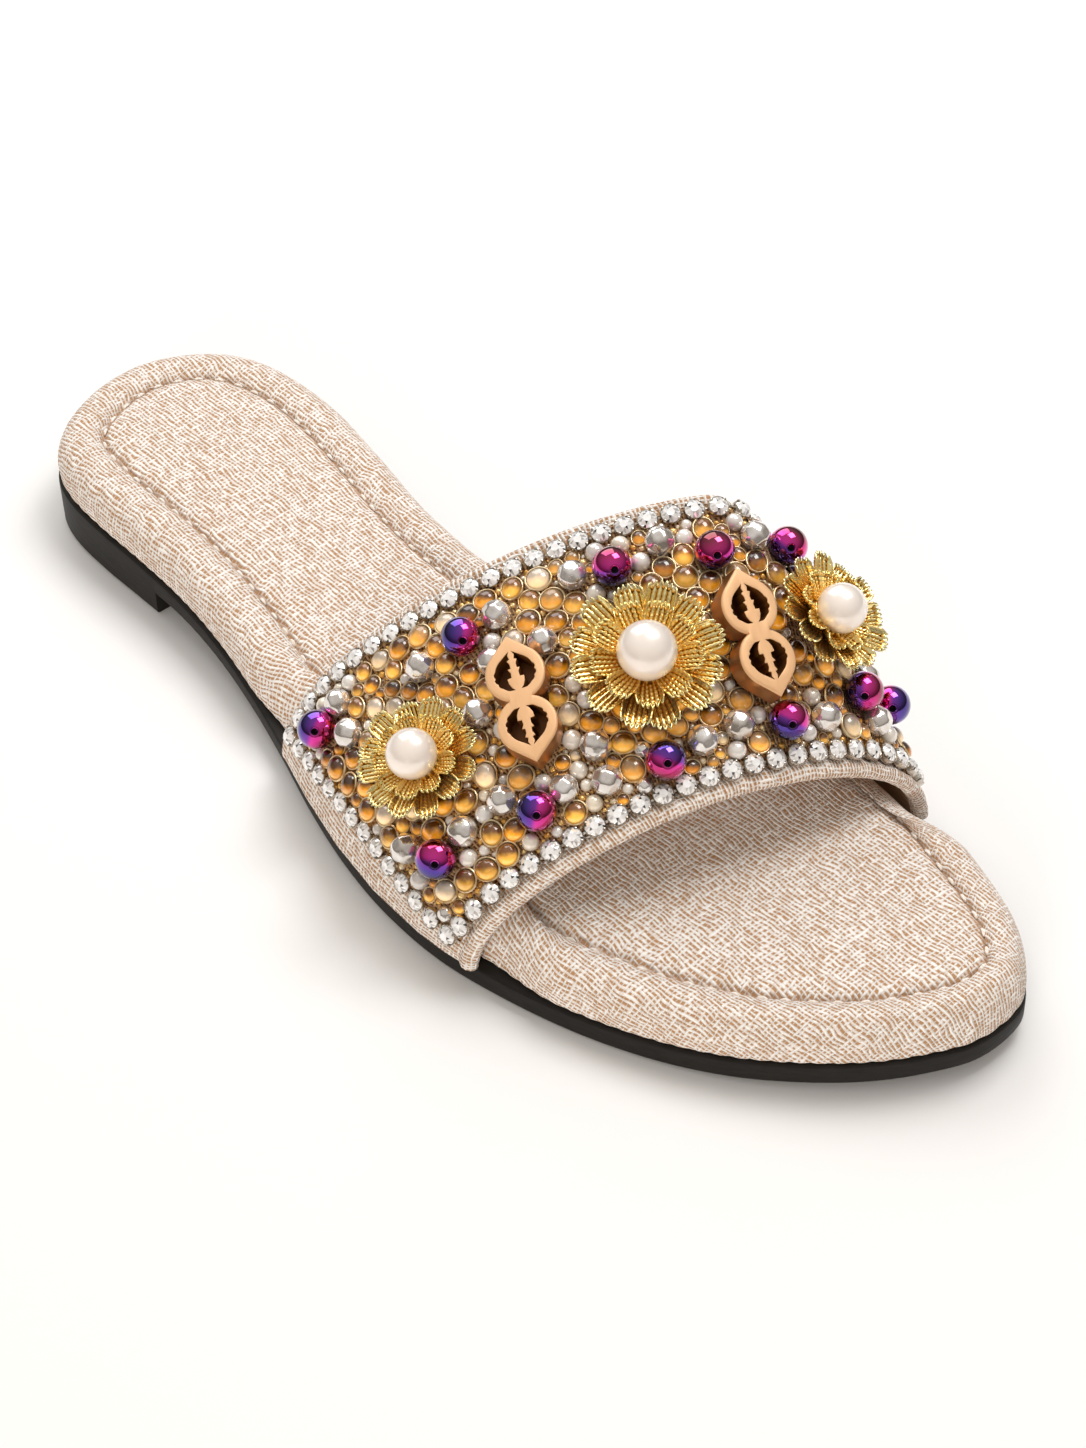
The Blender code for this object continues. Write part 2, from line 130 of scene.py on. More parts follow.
# Outsole.  One moulded black rubber unit: heel lift, rising waist, flat ball and toe
# spring.  Its side has a fine moulding grain, and shallow ribs cross its two treads.
MM = 0.001
LENGTH = 252.0
CENTRE_ACROSS = 5.33
HEEL_LENGTH = 51.5
OUTLINE_COLUMNS = ("along", "outer", "inner")
OUTLINE = (
    (0.0, 0.0, 0.0),
    (2.0, 11.8, 9.5),
    (6.0, 20.2, 16.6),
    (12.0, 26.2, 22.4),
    (20.0, 29.2, 26.0),
    (32.0, 30.4, 28.0),
    (45.0, 30.6, 27.5),
    (60.0, 31.0, 25.2),
    (75.0, 32.8, 22.4),
    (90.0, 36.0, 21.0),
    (105.0, 40.2, 21.4),
    (120.0, 45.0, 23.8),
    (135.0, 48.8, 28.2),
    (150.0, 51.0, 33.0),
    (165.0, 51.2, 36.8),
    (180.0, 48.8, 38.6),
    (195.0, 44.8, 38.4),
    (210.0, 39.0, 35.8),
    (222.0, 32.4, 31.8),
    (232.0, 24.8, 27.9),
    (241.0, 16.0, 23.4),
    (248.0, 6.0, 17.6),
    (251.4, -1.5, 12.4),
    (252.0, -7.0, 7.0),
)
PROFILE_COLUMNS = ("along", "top", "under")
PROFILE = (
    (0.0, 11.4, 5.2),
    (40.0, 10.6, 5.2),
    (62.0, 9.2, 5.1),
    (90.0, 7.0, 3.0),
    (116.0, 5.6, 1.1),
    (145.0, 4.8, 0.0),
    (195.0, 4.6, 0.0),
    (222.0, 5.6, 1.0),
    (252.0, 7.8, 3.2),
)


class Shade:
    """The output of a material's node, for use in plain arithmetic."""

    def __init__(self, tree, socket=None):
        self.tree = tree
        self.socket = socket

    def node(self, kind, settings=None, inputs=None, output=0):
        """A new node in the same material: its settings first, then its sockets."""
        made = self.tree.nodes.new("ShaderNode" + kind)
        for name, value in (settings or {}).items():
            if name == "stops":
                elements = made.color_ramp.elements
                for element, (position, colour) in zip(elements, (value[0], value[-1])):
                    element.position = position
                    element.color = (*colour, 1.0)
                for position, colour in value[1:-1]:
                    elements.new(position).color = (*colour, 1.0)
            else:
                setattr(made, name, value)
        for name, value in (inputs or {}).items():
            if isinstance(value, Shade):
                self.tree.links.new(value.socket, made.inputs[name])
            else:
                made.inputs[name].default_value = value
        return Shade(self.tree, made.outputs[output])

    def maths(self, operation, *values):
        return self.node("Math", {"operation": operation}, dict(enumerate(values)))

    def __add__(self, other):
        return self.maths("ADD", self, other)

    __radd__ = __add__

    def __mul__(self, other):
        return self.maths("MULTIPLY", self, other)

    __rmul__ = __mul__

    def __sub__(self, other):
        return self.maths("SUBTRACT", self, other)

    def __rsub__(self, other):
        return self.maths("SUBTRACT", other, self)

    def __truediv__(self, other):
        return self.maths("DIVIDE", self, other)

    def __mod__(self, other):
        return self.maths("FLOORED_MODULO", self, other)

    def __gt__(self, other):
        return self.maths("GREATER_THAN", self, other)

    def attribute(self, name, output="Fac"):
        return self.node("Attribute", {"attribute_name": name}, output=output)

    def noise(self, where, scale, detail=2.0, output="Fac"):
        return self.node("TexNoise", {}, {"Vector": where, "Scale": scale, "Detail": detail}, output)

    def grain(self, scale, detail=2.0):
        """Noise laid through the piece itself, which most finishes start from."""
        return self.noise(self.node("TexCoord", output="Object"), scale, detail)

    def ease(self, low, high):
        """0 below low, 1 above high, and smooth between."""
        settings = {"interpolation_type": "SMOOTHSTEP"}
        return self.node("MapRange", settings, {"Value": self, "From Min": low, "From Max": high})

    def ramp(self, *stops):
        return self.node("ValToRGB", {"stops": stops}, {0: self}, "Color")

    def blend(self, low, high):
        """Colour low where this is 0, and high where it is 1."""
        colours = {0: self}
        for index, colour in ((6, low), (7, high)):
            colours[index] = colour if isinstance(colour, Shade) else (*colour, 1.0)
        return self.node("Mix", {"data_type": "RGBA"}, colours, 2)

    def bump(self, distance, strength=1.0):
        """A normal from this height, distance in metres."""
        return self.node("Bump", {}, {"Height": self, "Distance": distance, "Strength": strength}, "Normal")


def new_material(name, **constants):
    """A Principled material with its constant sockets set, and a start for its nodes."""
    material = bpy.data.materials.new(name)
    material.use_nodes = True
    shader = material.node_tree.nodes["Principled BSDF"]
    for socket, value in constants.items():
        shader.inputs[socket.replace("_", " ")].default_value = value
    return material, Shade(material.node_tree)


def feed(material, **sockets):
    """Link what varies over the surface to the Principled shader."""
    shader = material.node_tree.nodes["Principled BSDF"]
    for socket, value in sockets.items():
        material.node_tree.links.new(value.socket, shader.inputs[socket.replace("_", " ")])


def read(table, columns, name, at):
    """Value of a named column on a smooth curve through the table's rows."""
    column = columns.index(name)
    rows = [(row[0], row[column]) for row in table]
    at = min(max(at, rows[0][0]), rows[-1][0])
    last = len(rows) - 2
    i = next(k for k in range(last + 1) if at <= rows[k + 1][0])
    (x0, y0), (x1, y1) = rows[i], rows[i + 1]
    width = x1 - x0
    start_slope = end_slope = (y1 - y0) / width
    if i > 0:
        start_slope = (y1 - rows[i - 1][1]) / (x1 - rows[i - 1][0])
    if i < last:
        end_slope = (rows[i + 2][1] - y0) / (rows[i + 2][0] - x0)
    t = (at - x0) / width
    ease = 3 * t**2 - 2 * t**3
    start_bend = width * start_slope * (t**3 - 2 * t**2 + t)
    end_bend = width * end_slope * (t**3 - t**2)
    return y0 + (y1 - y0) * ease + start_bend + end_bend


def end_angle(along):
    return math.acos(1 - 2 * min(max(along / LENGTH, 0.0), 1.0))


ROUND_OUTLINE = tuple((end_angle(row[0]), row[1], row[2]) for row in OUTLINE)


def half_width(side, along):
    return read(ROUND_OUTLINE, OUTLINE_COLUMNS, side, end_angle(along))


def outsole_top(along):
    return read(PROFILE, PROFILE_COLUMNS, "top", along)


def outsole_under(along):
    return max(0.0, read(PROFILE, PROFILE_COLUMNS, "under", along))


def outline_loop(rows):
    """(along, outer) round the sole: heel end, outer side, toe end, inner side."""
    outer = [(along, half_width("outer", along)) for along in rows]
    inner = [(along, -half_width("inner", along)) for along in rows[-2:0:-1]]
    return np.array(outer + inner)


def crowded_rows(number):
    """Places along the sole, closer together towards its two ends."""
    return [LENGTH * (1 - math.cos(math.pi * i / number)) / 2 for i in range(number + 1)]


def inward_normals(loop):
    """Directions of unit length from each place on the loop to its inside."""
    run = np.roll(loop, -1, axis=0) - np.roll(loop, 1, axis=0)
    normals = np.stack([run[:, 1], -run[:, 0]], axis=1)
    return normals / np.linalg.norm(normals, axis=1, keepdims=True)


def placed(along, outer, up):
    """Positions in metres from distances in millimetres."""
    return np.stack([CENTRE_ACROSS - outer, LENGTH / 2 - along, up], axis=-1) * MM


def build_mesh(name, points, faces, materials, attributes=None, indices=None, smooth=True):
    """An object from points and faces, which all turn outwards, with extra values on its points."""
    mesh = bpy.data.meshes.new(name)
    mesh.from_pydata(np.asarray(points).tolist(), [], faces)
    if smooth:
        mesh.shade_smooth()
    for material in materials:
        mesh.materials.append(material)
    if indices is not None:
        mesh.polygons.foreach_set("material_index", indices)
    for key, values in (attributes or {}).items():
        values = np.asarray(values, dtype=np.float32)
        kind, field = ("FLOAT", "value") if values.ndim == 1 else ("FLOAT_VECTOR", "vector")
        mesh.attributes.new(key, kind, "POINT").data.foreach_set(field, values.ravel())
    bm = bmesh.new()
    bm.from_mesh(mesh)
    bmesh.ops.recalc_face_normals(bm, faces=bm.faces)
    bm.to_mesh(mesh)
    bm.free()
    obj = bpy.data.objects.new(name, mesh)
    scene.collection.objects.link(obj)
    return obj


def ring_faces(first, second, count):
    """Quads between two closed rings, from the index of each ring's first point."""
    pairs = [(i, (i + 1) % count) for i in range(count)]
    return [(first + i, first + after, second + after, second + i) for i, after in pairs]


def tube_faces(rings, count):
    """Quads down a stack of closed rings."""
    return [face for k in range(rings - 1) for face in ring_faces(k * count, (k + 1) * count, count)]


def lid_faces(count, last):
    """Faces from side to side over the first ring, from the heel end to the toe end."""
    strips = [(i, i + 1, (count - i - 1) % count, (count - i) % count) for i in range(last)]
    return [tuple(dict.fromkeys(strip)) for strip in strips]


def sheet_faces(first_ring, count, last, first_inner, width):
    """Faces over a whole ring, through rows of as many inner points as the width."""
    rows = [[first_ring] * (width + 2)]
    for i in range(1, last):
        inner = first_inner + (i - 1) * width
        rows.append([first_ring + i, *range(inner, inner + width), first_ring + count - i])
    rows.append([first_ring + last] * (width + 2))
    return [
        tuple(dict.fromkeys((here[k], ahead[k], ahead[k + 1], here[k + 1])))
        for here, ahead in zip(rows, rows[1:])
        for k in range(width + 1)
    ]


OUTSOLE_ROWS = 110
HEEL_BREAST = 0.1
# the treads' grooves: rows of points over each, the part that is cut, and its reach across
RIB_PITCH = 5.0
RIB_DEPTH = 0.5
RIB_ROWS = (0.0, 0.25, 1.35, 1.6)
RIB_GROOVE = (0.2, 1.4)
RIB_SHARES = (0.11, 0.89)
ACROSS = (0.10, 0.115, 0.2, 0.35, 0.5, 0.65, 0.8, 0.885, 0.90)
TREADS = ((8.0, 45.0), (140.0, 200.0))
SIDE_RINGS = (
    # inset, below the top, above the bottom
    (3.0, 0.0, None),
    (0.5, 0.0, None),
    (0.14, 0.12, None),
    (0.0, 0.45, None),
    (0.0, None, 0.7),
    (0.16, None, 0.22),
    (0.6, None, 0.0),
)
rows = crowded_rows(OUTSOLE_ROWS)
grooves = [start + RIB_PITCH * i for start, end in TREADS for i in range(int((end - start) / RIB_PITCH))]
rows += [groove + step for groove in grooves for step in RIB_ROWS]
rows += [HEEL_LENGTH - HEEL_BREAST, HEEL_LENGTH + HEEL_BREAST]
rows = sorted(set(rows))
loop = outline_loop(rows)
normals = inward_normals(loop)
count = len(loop)
top_line = np.array([outsole_top(along) for along in loop[:, 0]])
under_line = np.array([0.0 if along < HEEL_LENGTH else outsole_under(along) for along in loop[:, 0]])
points = []
for inset, below, above in SIDE_RINGS:
    at = loop + normals * inset
    level = top_line - below if above is None else under_line + above
    points.append(placed(at[:, 0], at[:, 1], level))
last = len(rows) - 1
low_ring = points[-1]
inner_points = []
for i in range(1, last):
    start, end = low_ring[i], low_ring[count - i]
    in_tread = any(begin < rows[i] < stop for begin, stop in TREADS)
    step = min((rows[i] - groove for groove in grooves if rows[i] >= groove - 0.01), default=RIB_PITCH)
    grooved = in_tread and RIB_GROOVE[0] < step < RIB_GROOVE[1]
    for share in ACROSS:
        point = start + (end - start) * share
        if grooved and RIB_SHARES[0] < share < RIB_SHARES[1]:
            point = point + np.array([0, 0, RIB_DEPTH * MM])
        inner_points.append(point)
points.append(np.array(inner_points))
faces = tube_faces(len(SIDE_RINGS), count) + lid_faces(count, last)
faces += sheet_faces((len(SIDE_RINGS) - 1) * count, count, last, len(SIDE_RINGS) * count, len(ACROSS))

rubber, start = new_material("Black rubber", Specular_IOR_Level=0.22)
where = start.node("TexCoord", output="Object")
stretched = start.node("Mapping", {}, {"Vector": where, "Scale": (1.0, 1.0, 6.0)})
grain = start.noise(stretched, 260.0, 4.0)
cloud = start.grain(40.0, 3.0)
feed(
    rubber,
    Base_Color=(grain * 0.5 + cloud * 0.5).ramp((0.3, (0.007, 0.006, 0.005)), (0.7, (0.020, 0.017, 0.015))),
    Roughness=cloud * 0.25 + 0.42,
    Normal=(grain + cloud * 0.4).bump(0.0002, 0.35),
)
outsole = build_mesh("outsole_unit", np.concatenate(points), faces, [rubber])
outsole.data.set_sharp_from_angle(angle=math.radians(50))
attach(outsole, "root")
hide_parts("outsole")

# Footbed.  A board under foam, wrapped in one sheet of coarse cream and tan cloth.
# A padded roll runs round the edge, and a line of long stitches draws the cloth
# down between the roll and the soft crowned panel.
FOOTBED_ROWS = 330
ROLL_COLUMNS = ("place", "inset", "height")
ROLL = (
    # from the sole round the roll to the bottom of the stitched groove
    (0.0, 3.2, 0.25),
    (0.06, 1.4, 0.3),
    (0.12, 0.75, 0.9),
    (0.22, 0.45, 2.4),
    (0.33, 0.45, 4.4),
    (0.44, 0.95, 6.5),
    (0.54, 2.0, 8.4),
    (0.64, 3.6, 9.8),
    (0.74, 5.6, 10.4),
    (0.84, 7.9, 10.2),
    (0.93, 9.7, 9.4),
    (1.0, 10.7, 7.8),
)
ROLL_STEPS = 34
PANEL_COLUMNS = ("from_groove", "rise")
PANEL = ((0.0, 0.0), (0.8, 0.9), (1.8, 1.5), (3.8, 1.95), (9.0, 2.2), (20.0, 2.35), (40.0, 2.4))
PANEL_STEPS = 44
EDGE_CROWDING = 0.45
TOE_NARROWING = ((150.0, 1.0), (205.0, 0.84), (240.0, 0.72))
STITCH_PITCH = 4.6
SHADED_WIDTH = 0.8
PUCKER = 0.34
PUCKER_EASE = 1.15
ROLL_PUCKER = (6.5, 2.2)
PANEL_PUCKER = (6.0, 1.6)
LUMP = 0.22
LUMP_START = 4.0
SCALLOP = 0.3
SCALLOP_PITCH = 3.3
SCALLOP_HEIGHT = 2.6
SQUEEZE_FADE = 6.0
SQUEEZE = 1.7
SQUEEZE_PER_HEIGHT = 0.42
SQUEEZE_RAMP = 18.0
STRAP_FEET = ((107.0, 174.0), (159.0, 206.0))


def squeeze(along, outer_side, up):
    """How far the strap presses the roll in, on the outer or the inner side."""
    back, front = STRAP_FEET[0] if outer_side else STRAP_FEET[1]
    outside = np.maximum(np.maximum(back - along, along - front), 0.0)
    hold = np.maximum(0.0, 1.0 - outside / SQUEEZE_RAMP)
    return hold**2 * (3 - 2 * hold) * (SQUEEZE + SQUEEZE_PER_HEIGHT * up)


loop = outline_loop(crowded_rows(FOOTBED_ROWS))
normals = inward_normals(loop)
count = len(loop)
top_line = np.array([outsole_top(along) for along in loop[:, 0]])
on_outer_side = np.arange(count) < FOOTBED_ROWS
groove_inset = ROLL[-1][1]
narrow = np.interp(loop[:, 0], *zip(*TOE_NARROWING))
groove = loop + normals * (groove_inset * narrow)[:, None]
steps = np.linalg.norm(np.roll(groove, -1, axis=0) - groove, axis=1)
groove_run = np.concatenate([[0.0], np.cumsum(steps)[:-1]])
stitch_count = round(steps.sum() / STITCH_PITCH)
stitch_pitch = steps.sum() / stitch_count
wave = np.cos(2 * math.pi * groove_run / stitch_pitch)
groove_tangent = np.roll(groove, -1, axis=0) - np.roll(groove, 1, axis=0)
groove_tangent /= np.linalg.norm(groove_tangent, axis=1, keepdims=True)

points = []
cloth = []
# painted shade: darkens the cloth along the stitched groove, fading out over SHADED_WIDTH
sunk = []
section = [
    (read(ROLL, ROLL_COLUMNS, "inset", k / ROLL_STEPS), read(ROLL, ROLL_COLUMNS, "height", k / ROLL_STEPS))
    for k in range(ROLL_STEPS + 1)
]
section_run = [0.0]
for (inset_a, up_a), (inset_b, up_b) in zip(section, section[1:]):
    section_run.append(section_run[-1] + math.hypot(inset_b - inset_a, up_b - up_a))
for (inset, up), run in zip(section, section_run):
    near = max(0.0, 1 - (section_run[-1] - run) / ROLL_PUCKER[0])
    press = np.where(on_outer_side, squeeze(loop[:, 0], True, up), squeeze(loop[:, 0], False, up))
    press = press * (1 - max(0.0, inset - SQUEEZE_FADE) / (groove_inset - SQUEEZE_FADE))
    fold = wave * PUCKER * near * (PUCKER_EASE - near)
    lumps = np.sin(groove_run * 0.21) * np.sin(groove_run * 0.083 + 1.3) * LUMP * (up > LUMP_START)
    waves = np.abs(np.sin(math.pi * groove_run / SCALLOP_PITCH))
    scallop = SCALLOP * max(0.0, 1 - up / SCALLOP_HEIGHT) * waves
    at = loop + normals * (inset * narrow + press - scallop)[:, None]
    points.append(placed(at[:, 0], at[:, 1], top_line + up + fold * ROLL_PUCKER[1] + lumps))
    flat = groove - normals * (section_run[-1] - run)
    cloth.append(np.stack([flat[:, 1], flat[:, 0], np.zeros(count)], axis=1))
    sunk.append(np.full(count, math.exp(-((section_run[-1] - run) / SHADED_WIDTH) ** 2)))
even = np.arange(1, PANEL_STEPS) / PANEL_STEPS
shares = EDGE_CROWDING * ((1 - np.cos(np.pi * even)) / 2) + (1 - EDGE_CROWDING) * even
for i in range(1, FOOTBED_ROWS):
    start_point, end_point = groove[i], groove[count - i]
    at = start_point + (end_point - start_point) * shares[:, None]
    away = np.linalg.norm(at[:, None, :] - groove[None, :, :], axis=2)
    nearest = away.argmin(axis=1)
    distance = away.min(axis=1)
    slide = ((at - groove[nearest]) * groove_tangent[nearest]).sum(axis=1)
    local_wave = np.cos(2 * math.pi * (groove_run[nearest] + slide) / stitch_pitch)
    rise = np.array([read(PANEL, PANEL_COLUMNS, "rise", value) for value in distance])
    near = np.maximum(0.0, 1 - distance / PANEL_PUCKER[0])
    base = (top_line[i] + top_line[count - i]) / 2 + ROLL[-1][2]
    up = base + rise + local_wave * PUCKER * PANEL_PUCKER[1] * near * (PUCKER_EASE - near)
    points.append(placed(at[:, 0], at[:, 1], up))
    cloth.append(np.stack([at[:, 1], at[:, 0], np.zeros(len(at))], axis=1))
    sunk.append(np.exp(-((distance / SHADED_WIDTH) ** 2)))
first_groove = ROLL_STEPS * count
faces = tube_faces(ROLL_STEPS + 1, count)
faces += sheet_faces(first_groove, count, FOOTBED_ROWS, first_groove + count, PANEL_STEPS - 1)
faces += lid_faces(count, FOOTBED_ROWS)

CLOTH_PITCH = 0.95
THREAD_DRIFT = 2.4
THREAD_WAVER = 0.6
# how much painted shade darkens a thread where it dips under a crossing
UNDER_THREAD_SHADE = 0.36
UNDER_HEIGHT = 0.45
THREADS_SKIPPED = 0.34


def woven_cloth(name, pitch, gap_colour, thread_colour, warp=(0.40, 0.66), weft=(0.12, 0.72)):
    """Coarse irregular plain weave, laid out by the cloth attribute in millimetres, with painted shade on
    threads that dip under a crossing and along the footbed's stitched groove.
    """
    material, start = new_material(name, Specular_IOR_Level=0.2, Sheen_Weight=0.1)
    flat = start.attribute("cloth", "Vector")
    drift = start.noise(flat, 0.13, 2.0, "Color")
    drift = start.node("VectorMath", {"operation": "SUBTRACT"}, {0: drift, 1: (0.5, 0.5, 0.5)})
    drift = start.node("VectorMath", {"operation": "SCALE"}, {0: drift, "Scale": THREAD_DRIFT})
    shifted = start.node("VectorMath", {"operation": "ADD"}, {0: flat, 1: drift})
    cell = start.node("VectorMath", {"operation": "SCALE"}, {0: shifted, "Scale": 1 / pitch})
    across = start.node("SeparateXYZ", {}, {0: cell}, 0)
    along = start.node("SeparateXYZ", {}, {0: cell}, 1)
    warp_number = start.maths("FLOOR", across)
    weft_number = start.maths("FLOOR", along)

    def thread_set(place, number, run, cover, thin, seed):
        """Cover and roundness of one set of threads, each with its own wavering body."""
        body_at = start.node("CombineXYZ", {}, {0: number * 3.7, 1: run * 0.42, 2: seed})
        waver_at = start.node("CombineXYZ", {}, {0: number * 5.3, 1: run * 0.33, 2: seed + 4.0})
        body = start.noise(body_at, 1.0, 1.0).ease(thin, thin + 0.34) * (cover[1] - cover[0]) + cover[0]
        waver = (start.noise(waver_at, 1.0, 1.0) - 0.5) * THREAD_WAVER
        off = start.maths("ABSOLUTE", place - number - 0.5 + waver) * 2
        rounded = start.maths("MAXIMUM", 1 - (off / body) * (off / body), 0.0)
        return 1 - off.ease(body - 0.10, body + 0.10), rounded

    warp_cover, warp_round = thread_set(across, warp_number, along, warp, 0.30, 1.3)
    weft_cover, weft_round = thread_set(along, weft_number, across, weft, 0.38, 7.9)
    both = start.node("CombineXYZ", {}, {0: warp_number, 1: weft_number, 2: 0.0})
    chance = start.node("TexWhiteNoise", {"noise_dimensions": "3D"}, {"Vector": both}, "Value")
    over = start.maths("ABSOLUTE", (warp_number + weft_number) % 2.0 - (chance > 1 - THREADS_SKIPPED))
    # threads that dip under a crossing are painted darker: painted shade
    warp_pale = warp_cover * (over * UNDER_THREAD_SHADE + (1 - UNDER_THREAD_SHADE))
    pale = start.maths("MAXIMUM", warp_pale, weft_cover * (1 - over * UNDER_THREAD_SHADE))
    warp_height = warp_round * (over * UNDER_HEIGHT + (1 - UNDER_HEIGHT))
    height = start.maths("MAXIMUM", warp_height, weft_round * (1 - over * UNDER_HEIGHT))
    patch = start.noise(flat, 0.22)
    slub = start.noise(flat, 2.3)
    # painted shade darkens the cloth by up to three quarters along the footbed's stitched groove
    level = pale * (1 - start.attribute("sunk") * 0.75) + (patch - 0.5) * 0.10 + (slub - 0.5) * 0.20
    colour = level.ramp(
        (0.0, gap_colour),
        (0.55, tuple(0.45 * a + 0.55 * b for a, b in zip(gap_colour, thread_colour))),
        (0.80, thread_colour),
    )
    feed(material, Base_Color=colour, Roughness=0.96 - height * 0.1, Normal=height.bump(0.00045, 0.7))
    return material


footbed_cloth = woven_cloth("Cream and tan cloth", CLOTH_PITCH, (0.46, 0.255, 0.125), (0.97, 0.925, 0.878))
footbed = build_mesh("padded_footbed", np.concatenate(points), faces, [footbed_cloth],
                     {"cloth": np.concatenate(cloth), "sunk": np.concatenate(sunk)})
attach(footbed, "root")
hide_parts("footbed")

# Footbed stitches.  Thick cream thread in a long running stitch, sunk in the groove.
# Each stitch arches out of its two holes.
STITCH_LENGTH = 2.7
STITCH_RADIUS = 0.36
STITCH_ARCH = 0.45
STITCH_LIFT = 0.62
STITCH_RINGS = 8


def numbered_from(first, faces):
    """The same faces, with their points numbered on from the first."""
    return [tuple(corner + first for corner in face) for face in faces]


def repeat(name, template, seats, materials, attributes=None, per_seat=None, whole=None, smooth=True):
    """Copies of a template mesh at many 4 by 4 seats, in millimetres, as one object."""
    shape, faces, indices = template
    shape = np.asarray(shape, dtype=float)
    seats = np.asarray(seats, dtype=float)
    size = len(shape)
    points = np.einsum("sij,pj->spi", seats[:, :3, :3], shape) + seats[:, None, :3, 3]
    all_faces = [face for k in range(len(seats)) for face in numbered_from(k * size, faces)]
    values = {key: np.tile(value, len(seats)) for key, value in (attributes or {}).items()}
    for key, value in (per_seat or {}).items():
        values[key] = np.repeat(np.asarray(value), size, axis=0)
    values.update(whole or {})
    all_indices = None if indices is None else list(indices) * len(seats)
    flat = points.reshape(-1, 3) * MM
    return build_mesh(name, flat, all_faces, materials, values, all_indices, smooth)


def turned(profile, segments, close_start=True, close_end=True):
    """Points and faces of a profile of (radius, height) turned about Z."""
    angles = np.arange(segments) * 2 * math.pi / segments
    points = [
        (radius * math.cos(angle), radius * math.sin(angle), up)
        for radius, up in profile
        for angle in angles
    ]
    faces = tube_faces(len(profile), segments)
    if close_start:
        faces.append(tuple(range(segments))[::-1])
    if close_end:
        faces.append(tuple(range((len(profile) - 1) * segments, len(profile) * segments)))
    return np.array(points), faces, None


shares = [k / STITCH_RINGS for k in range(1, STITCH_RINGS)]
thread_profile = [
    (math.sin(math.pi * share) ** 0.5 * STITCH_RADIUS, STITCH_LENGTH * (share - 0.5)) for share in shares
]
points, faces, _ = turned(thread_profile, 8)
arch = (points[:, 2] / STITCH_LENGTH * 2) ** 2 * STITCH_ARCH
arched = np.stack([points[:, 2], points[:, 0], points[:, 1] - arch], axis=1)
seats = []
for k in range(stitch_count):
    middle = (k + 0.5) * stitch_pitch
    i = int(np.abs(groove_run - middle).argmin())
    ahead = (i + 1) % count
    run = placed(*groove[ahead], top_line[ahead]) - placed(*groove[i], top_line[i])
    run = run / np.linalg.norm(run)
    side = np.cross((0, 0, 1), run)
    side = side / np.linalg.norm(side)
    seat = np.eye(4)
    seat[:3, 0] = run
    seat[:3, 1] = side
    seat[:3, 2] = np.cross(run, side)
    seat[:3, 3] = placed(*groove[i], top_line[i] + ROLL[-1][2] + STITCH_LIFT) / MM
    seats.append(seat)
thread, start = new_material("Cream thread", Sheen_Weight=0.2)
ply = start.node("TexWave", {"wave_type": "BANDS"}, {"Scale": 420.0, "Distortion": 1.0,
                 "Vector": start.node("TexCoord", output="Object")}, "Fac")
feed(thread, Base_Color=ply.blend((0.84, 0.74, 0.63), (0.98, 0.94, 0.89)), Roughness=0.9 - ply * 0.1,
     Normal=ply.bump(0.0001, 0.5))
stitches = repeat("footbed_stitches", (arched, faces, None), seats, [thread])
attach(stitches, "root")

# Strap.  A wide band of the same cloth over a stiffener, lined with smooth pale
# leather.  Its front edge is turned round a cord, its back edge is folded flat, and
# both ends are lasted down on the outsole.
STRAP_COLUMNS = (
    "part", "outer_foot", "inner_foot", "crest", "crest_across", "bow", "outer_fullness", "inner_fullness",
)
STRAP = (
    (0.0, 107.0, 159.0, 60.0, 0.88, 0.0, 1.64, 3.6),
    (0.5, 140.0, 182.0, 49.0, 0.70, 1.0, 1.74, 2.8),
    (1.0, 174.0, 206.0, 32.5, 0.50, 3.0, 1.84, 1.9),
)
STRAP_PROUD = 0.7
STRAP_BASE = 0.5
LINE_SAMPLES = 1200
GIRTH_STEPS = 400
DEPTH_STEPS = 100


def strap_line(part):
    """Evenly spaced points over the strap at one depth, outer end to inner end, in millimetres."""
    shape = {name: read(STRAP, STRAP_COLUMNS, name, part) for name in STRAP_COLUMNS[1:]}
    outer = half_width("outer", shape["outer_foot"]) + STRAP_PROUD
    inner = -half_width("inner", shape["inner_foot"]) - STRAP_PROUD
    middle = outer + (inner - outer) * shape["crest_across"]
    angle = np.linspace(0, math.pi, LINE_SAMPLES)
    on_outer = angle < math.pi / 2
    foot = np.where(on_outer, outer, inner)
    base = np.where(on_outer, outsole_top(shape["outer_foot"]), outsole_top(shape["inner_foot"]))
    base = base + STRAP_BASE
    power = 2 / np.where(on_outer, shape["outer_fullness"], shape["inner_fullness"])
    across = middle + (foot - middle) * np.abs(np.cos(angle)) ** power
    share = (outer - across) / (outer - inner)
    along = shape["outer_foot"] + (shape["inner_foot"] - shape["outer_foot"]) * share
    along = along + shape["bow"] * 4 * share * (1 - share)
    up = base + (shape["crest"] - base) * np.abs(np.sin(angle)) ** power
    path = placed(along, across, up) / MM
    run = np.concatenate([[0.0], np.cumsum(np.linalg.norm(np.diff(path, axis=0), axis=1))])
    goal = np.linspace(0, run[-1], GIRTH_STEPS + 1)
    return np.stack([np.interp(goal, run, path[:, k]) for k in range(3)], axis=1)


strap_grid = np.array([strap_line(k / DEPTH_STEPS) for k in range(DEPTH_STEPS + 1)])
girth_run = np.gradient(strap_grid, axis=1)
depth_run = np.gradient(strap_grid, axis=0)
girth_run /= np.linalg.norm(girth_run, axis=2, keepdims=True)
depth_length = np.linalg.norm(depth_run, axis=2, keepdims=True)
strap_out = np.cross(depth_run / depth_length, girth_run)
strap_out /= np.linalg.norm(strap_out, axis=2, keepdims=True)


